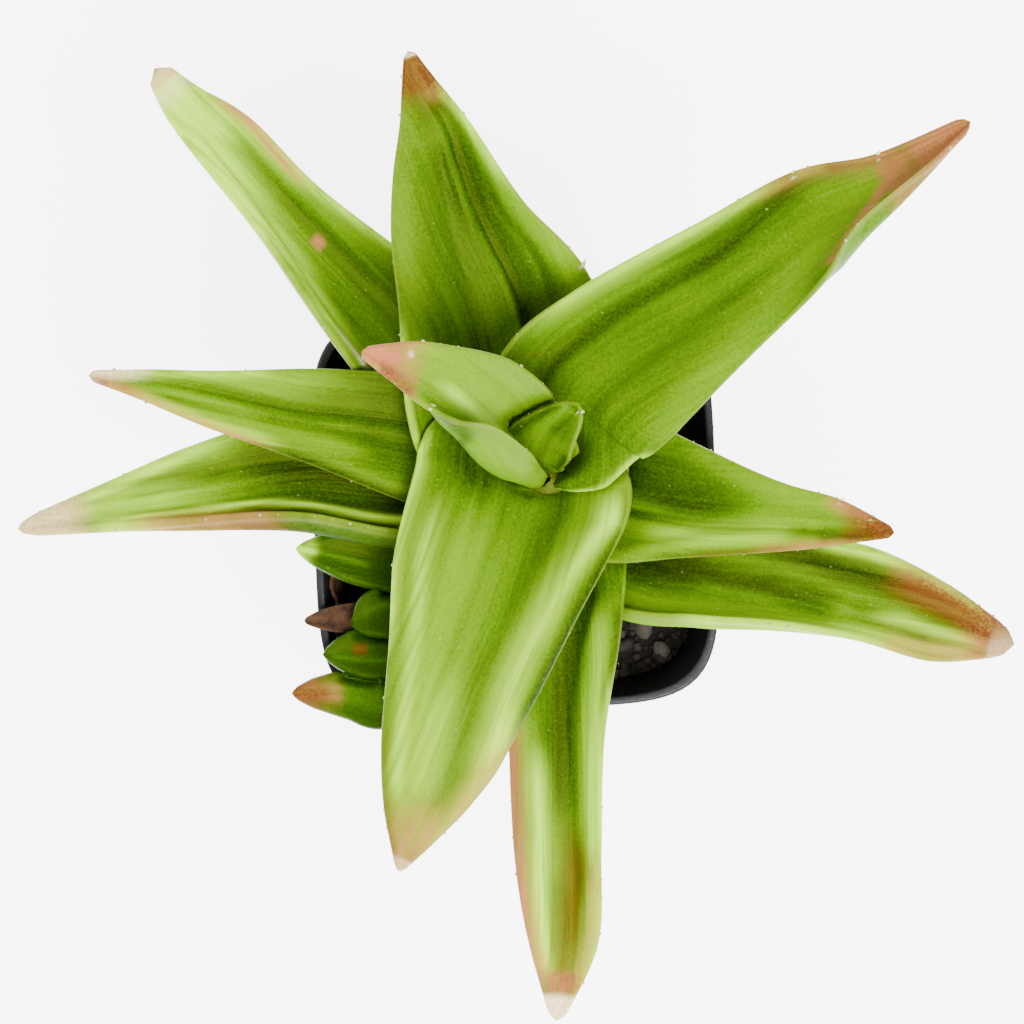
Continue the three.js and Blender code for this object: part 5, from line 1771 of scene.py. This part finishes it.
@dataclass(frozen=True)
class OffsetShoot:
    """The small shoot beside the main plant: a bent stem with plump leaves."""

    canopy: Canopy
    radius: float = 2.2
    leaves: tuple[LeafPlan, ...] = SHOOT_LEAVES
    finish: LeafFinish = LeafFinish(
        "offset_skin",
        deep=(0.005, 0.020, 0.000),
        middle=(0.009, 0.036, 0.000),
        light=(0.016, 0.058, 0.000),
        bright=(0.055, 0.140, 0.000),
        margin=(0.020, 0.060, 0.000),
        seed=80,
        stripe=0.10,
    )

    def build(self) -> None:
        """Grows the stem and sets its leaves on it."""
        path, _ = catmull_rom(np.array(SHOOT_PATH, dtype=float), np.linspace(0, 1, 24))
        skin = self.finish.material()
        stem = Sprouting("shoot_stem", skin, self.radius).grow("small_shoot", line_mesh("shoot_line", path))
        pieces = [stem]
        for plan in self.leaves:
            blade = Blade(plan, rings=44, cells=10)
            blade.nest(self.canopy)
            pieces.append(blade.build())
        dress(joined(pieces), skin, "offset", "offset_shoot")


@dataclass(frozen=True)
class DryGrowth:
    """The dead parts: a shrivelled leaf over the rim and a strip on the pot's inner wall.

    The strip stands on an arc, given in degrees. Its bows, tears and ripples are counted by the radian.
    """

    pot: Pot = Pot()
    canopy: Canopy = field(default_factory=Canopy)
    finish: CrumbFinish = CrumbFinish("dry_tissue", (0.020, 0.007, 0.003), (0.190, 0.090, 0.030), 0.8)
    arc: Spot = (190, 224)
    foot: float = 49.5
    thickness: float = 0.8
    thinning: float = 0.4
    clearance: float = 0.3
    bow: float = 1.1
    bows: int = 3
    tear: float = 0.35
    tears: int = 23
    ripple: float = 0.35
    ripples: int = 31
    steps: int = 90
    rows: int = 10

    def build(self) -> None:
        """Makes both parts."""
        tissue = self.finish.material()
        plan = small_leaf(
            "shrivelled_leaf", (-13.5, -15.5, 54),
            (-19, -16, 55, 1.8), (-25.5, -16.3, 57.3, 1.7), (-30.6, -16.6, 58, 0.4),
            thickness=1.0, wing=30,
        )
        blade = Blade(plan, rings=60, cells=8)
        blade.nest(self.canopy)
        dress(blade.build(), tissue, "dry", "dry_leaf")
        dress(self.strip(), tissue, "dry", "dry_strip")

    def strip(self) -> bpy.types.Object:
        """The strip that stands along the wall, with a torn upper edge."""
        angles = np.radians(np.linspace(*self.arc, self.steps))
        square = self.pot.square
        stretch = (np.abs(np.cos(angles)) ** square + np.abs(np.sin(angles)) ** square) ** (-1 / square)
        tops = self.pot.height - self.clearance - self.bow * np.sin(self.bows * angles) ** 2
        tops = tops - self.tear * np.abs(np.sin(self.tears * angles))
        turned = angles + math.radians(self.pot.turn)
        loops = []
        for i, turn in enumerate(turned):
            outer, inner = [], []
            for share in np.linspace(0, 1, self.rows):
                z = self.foot + (tops[i] - self.foot) * share
                ripple = self.ripple * share * (1 + math.sin(self.ripples * angles[i] + 3 * share))
                reach = (self.pot.inner(z) - self.clearance - ripple) * stretch[i]
                inward = reach - self.thickness * (1 - self.thinning * share)
                outer.append((reach * math.cos(turn), reach * math.sin(turn), z))
                inner.append((inward * math.cos(turn), inward * math.sin(turn), z))
            loops.append(outer + inner[::-1])
        around = 2 * self.rows
        last = (self.steps - 1) * around
        faces = [list(range(around)), [last + j for j in range(around)][::-1]]
        for i in range(self.steps - 1):
            for j in range(around):
                k = (j + 1) % around
                faces.append([i * around + j, (i + 1) * around + j, (i + 1) * around + k, i * around + k])
        return mesh_object("wall_strip", np.array(loops).reshape(-1, 3), faces)


@dataclass
class Rosette:
    """The main plant's eleven leaves, from the bud down to the lowest ones."""

    leaves: tuple[LeafPlan, ...] = ROSETTE
    canopy: Canopy = field(default_factory=Canopy)
    seed_step: float = 3.7
    horn: CrumbFinish = CrumbFinish("tooth_horn", (0.25, 0.26, 0.11), (0.60, 0.60, 0.38), 0.6)
    tooth_spacing: float = 2.6
    tooth_sizes: Spot = (0.02, 0.26)
    tooth_seed: int = 5

    def build(self) -> None:
        """Places each leaf below those above it, and sets the teeth on their margins."""
        lines = []
        for number, plan in enumerate(self.leaves):
            blade = Blade(plan)
            blade.nest(self.canopy)
            lines += blade.edges()
            finish = LeafFinish(f"{plan.name}_skin", seed=self.seed_step * number, tone=plan.tone)
            dress(blade.build(), finish.material(), plan.slot, plan.node)
        fringe = Fringe(self.horn.material(), self.tooth_spacing, self.tooth_sizes, self.tooth_seed)
        dress(fringe.grow("margin_teeth", line_mesh("margin_lines", *lines)), fringe.material, "leaf")


@dataclass
class Studio:
    """The pale floor, the soft light and the camera above the plant."""

    camera_at: Triple = (-0.44, -0.66, 475)
    lens: float = 100
    sensor: float = 36
    floor_size: float = 6000
    floor_drop: float = 0.05
    floor_colour: Colour = (0.86, 0.86, 0.85)
    floor_stain: Colour = (0.84, 0.84, 0.84)
    floor_glow: float = 4.6
    sky: float = 0.95
    aim: Triple = (0, 0, 60)
    lights: tuple[tuple[str, Triple, float, float], ...] = (
        ("key", (260, -420, 900), 620, 34),
        ("fill", (-520, 420, 800), 700, 9),
    )

    def build(self) -> None:
        """Sets the stage."""
        self.floor()
        for lamp in self.lights:
            self.light(*lamp)
        world = bpy.data.worlds.new("studio")
        bpy.context.scene.world = world
        world.use_nodes = True
        background = world.node_tree.nodes["Background"]
        background.inputs["Color"].default_value = (1.0, 1.0, 1.0, 1.0)
        background.inputs["Strength"].default_value = self.sky
        data = bpy.data.cameras.new("camera")
        data.lens, data.sensor_width = self.lens, self.sensor
        data.clip_start, data.clip_end = 0.01, 50
        camera = bpy.data.objects.new("camera", data)
        camera.location = [value * MM for value in self.camera_at]
        bpy.context.scene.collection.objects.link(camera)
        bpy.context.scene.camera = camera

    def floor(self) -> None:
        """Lays the floor under the pot."""
        half = self.floor_size / 2 * MM
        mesh = bpy.data.meshes.new("floor")
        corners = ((-half, -half), (half, -half), (half, half), (-half, half))
        mesh.from_pydata([(x, y, -self.floor_drop * MM) for x, y in corners], [], [(0, 1, 2, 3)])
        floor = bpy.data.objects.new("floor", mesh)
        bpy.context.scene.collection.objects.link(floor)
        s = Shader("floor_paper")
        paper = s.noise(s.place, 40, 2)
        colour = s.mixed(paper, self.floor_colour, self.floor_stain)
        material = s.finish(
            colour, 0.9, paper, 0.01,
            Specular_IOR_Level=0.1,
            Emission_Color=(1, 1, 1, 1),
            Emission_Strength=self.floor_glow,
        )
        mesh.materials.append(material)

    def light(self, name: str, at: Triple, size: float, power: float) -> None:
        """Hangs a square soft light that faces the plant."""
        data = bpy.data.lights.new(name, "AREA")
        data.size = size * MM
        data.energy = power
        lamp = bpy.data.objects.new(name, data)
        place = np.array(at) * MM
        lamp.location = place
        toward = Vector(np.array(self.aim) * MM - place)
        lamp.rotation_euler = toward.to_track_quat("-Z", "Y").to_euler()
        bpy.context.scene.collection.objects.link(lamp)


def main() -> None:
    """Builds the plant and its setting."""
    logging.basicConfig(level=logging.INFO, format="%(name)s %(message)s")
    rosette = Rosette()
    steps: tuple[tuple[str, Callable[[], None]], ...] = (
        ("studio", Studio().build),
        ("rosette", rosette.build),
        ("offset shoot", OffsetShoot(rosette.canopy).build),
        ("dry growth", DryGrowth(canopy=rosette.canopy).build),
        ("stem", Stem().build),
        ("pot", Pot().build),
        ("soil", Soil().build),
    )
    for name, build in steps:
        build()
        log.info("%s is in place", name)


if __name__ == "__main__":
    main()
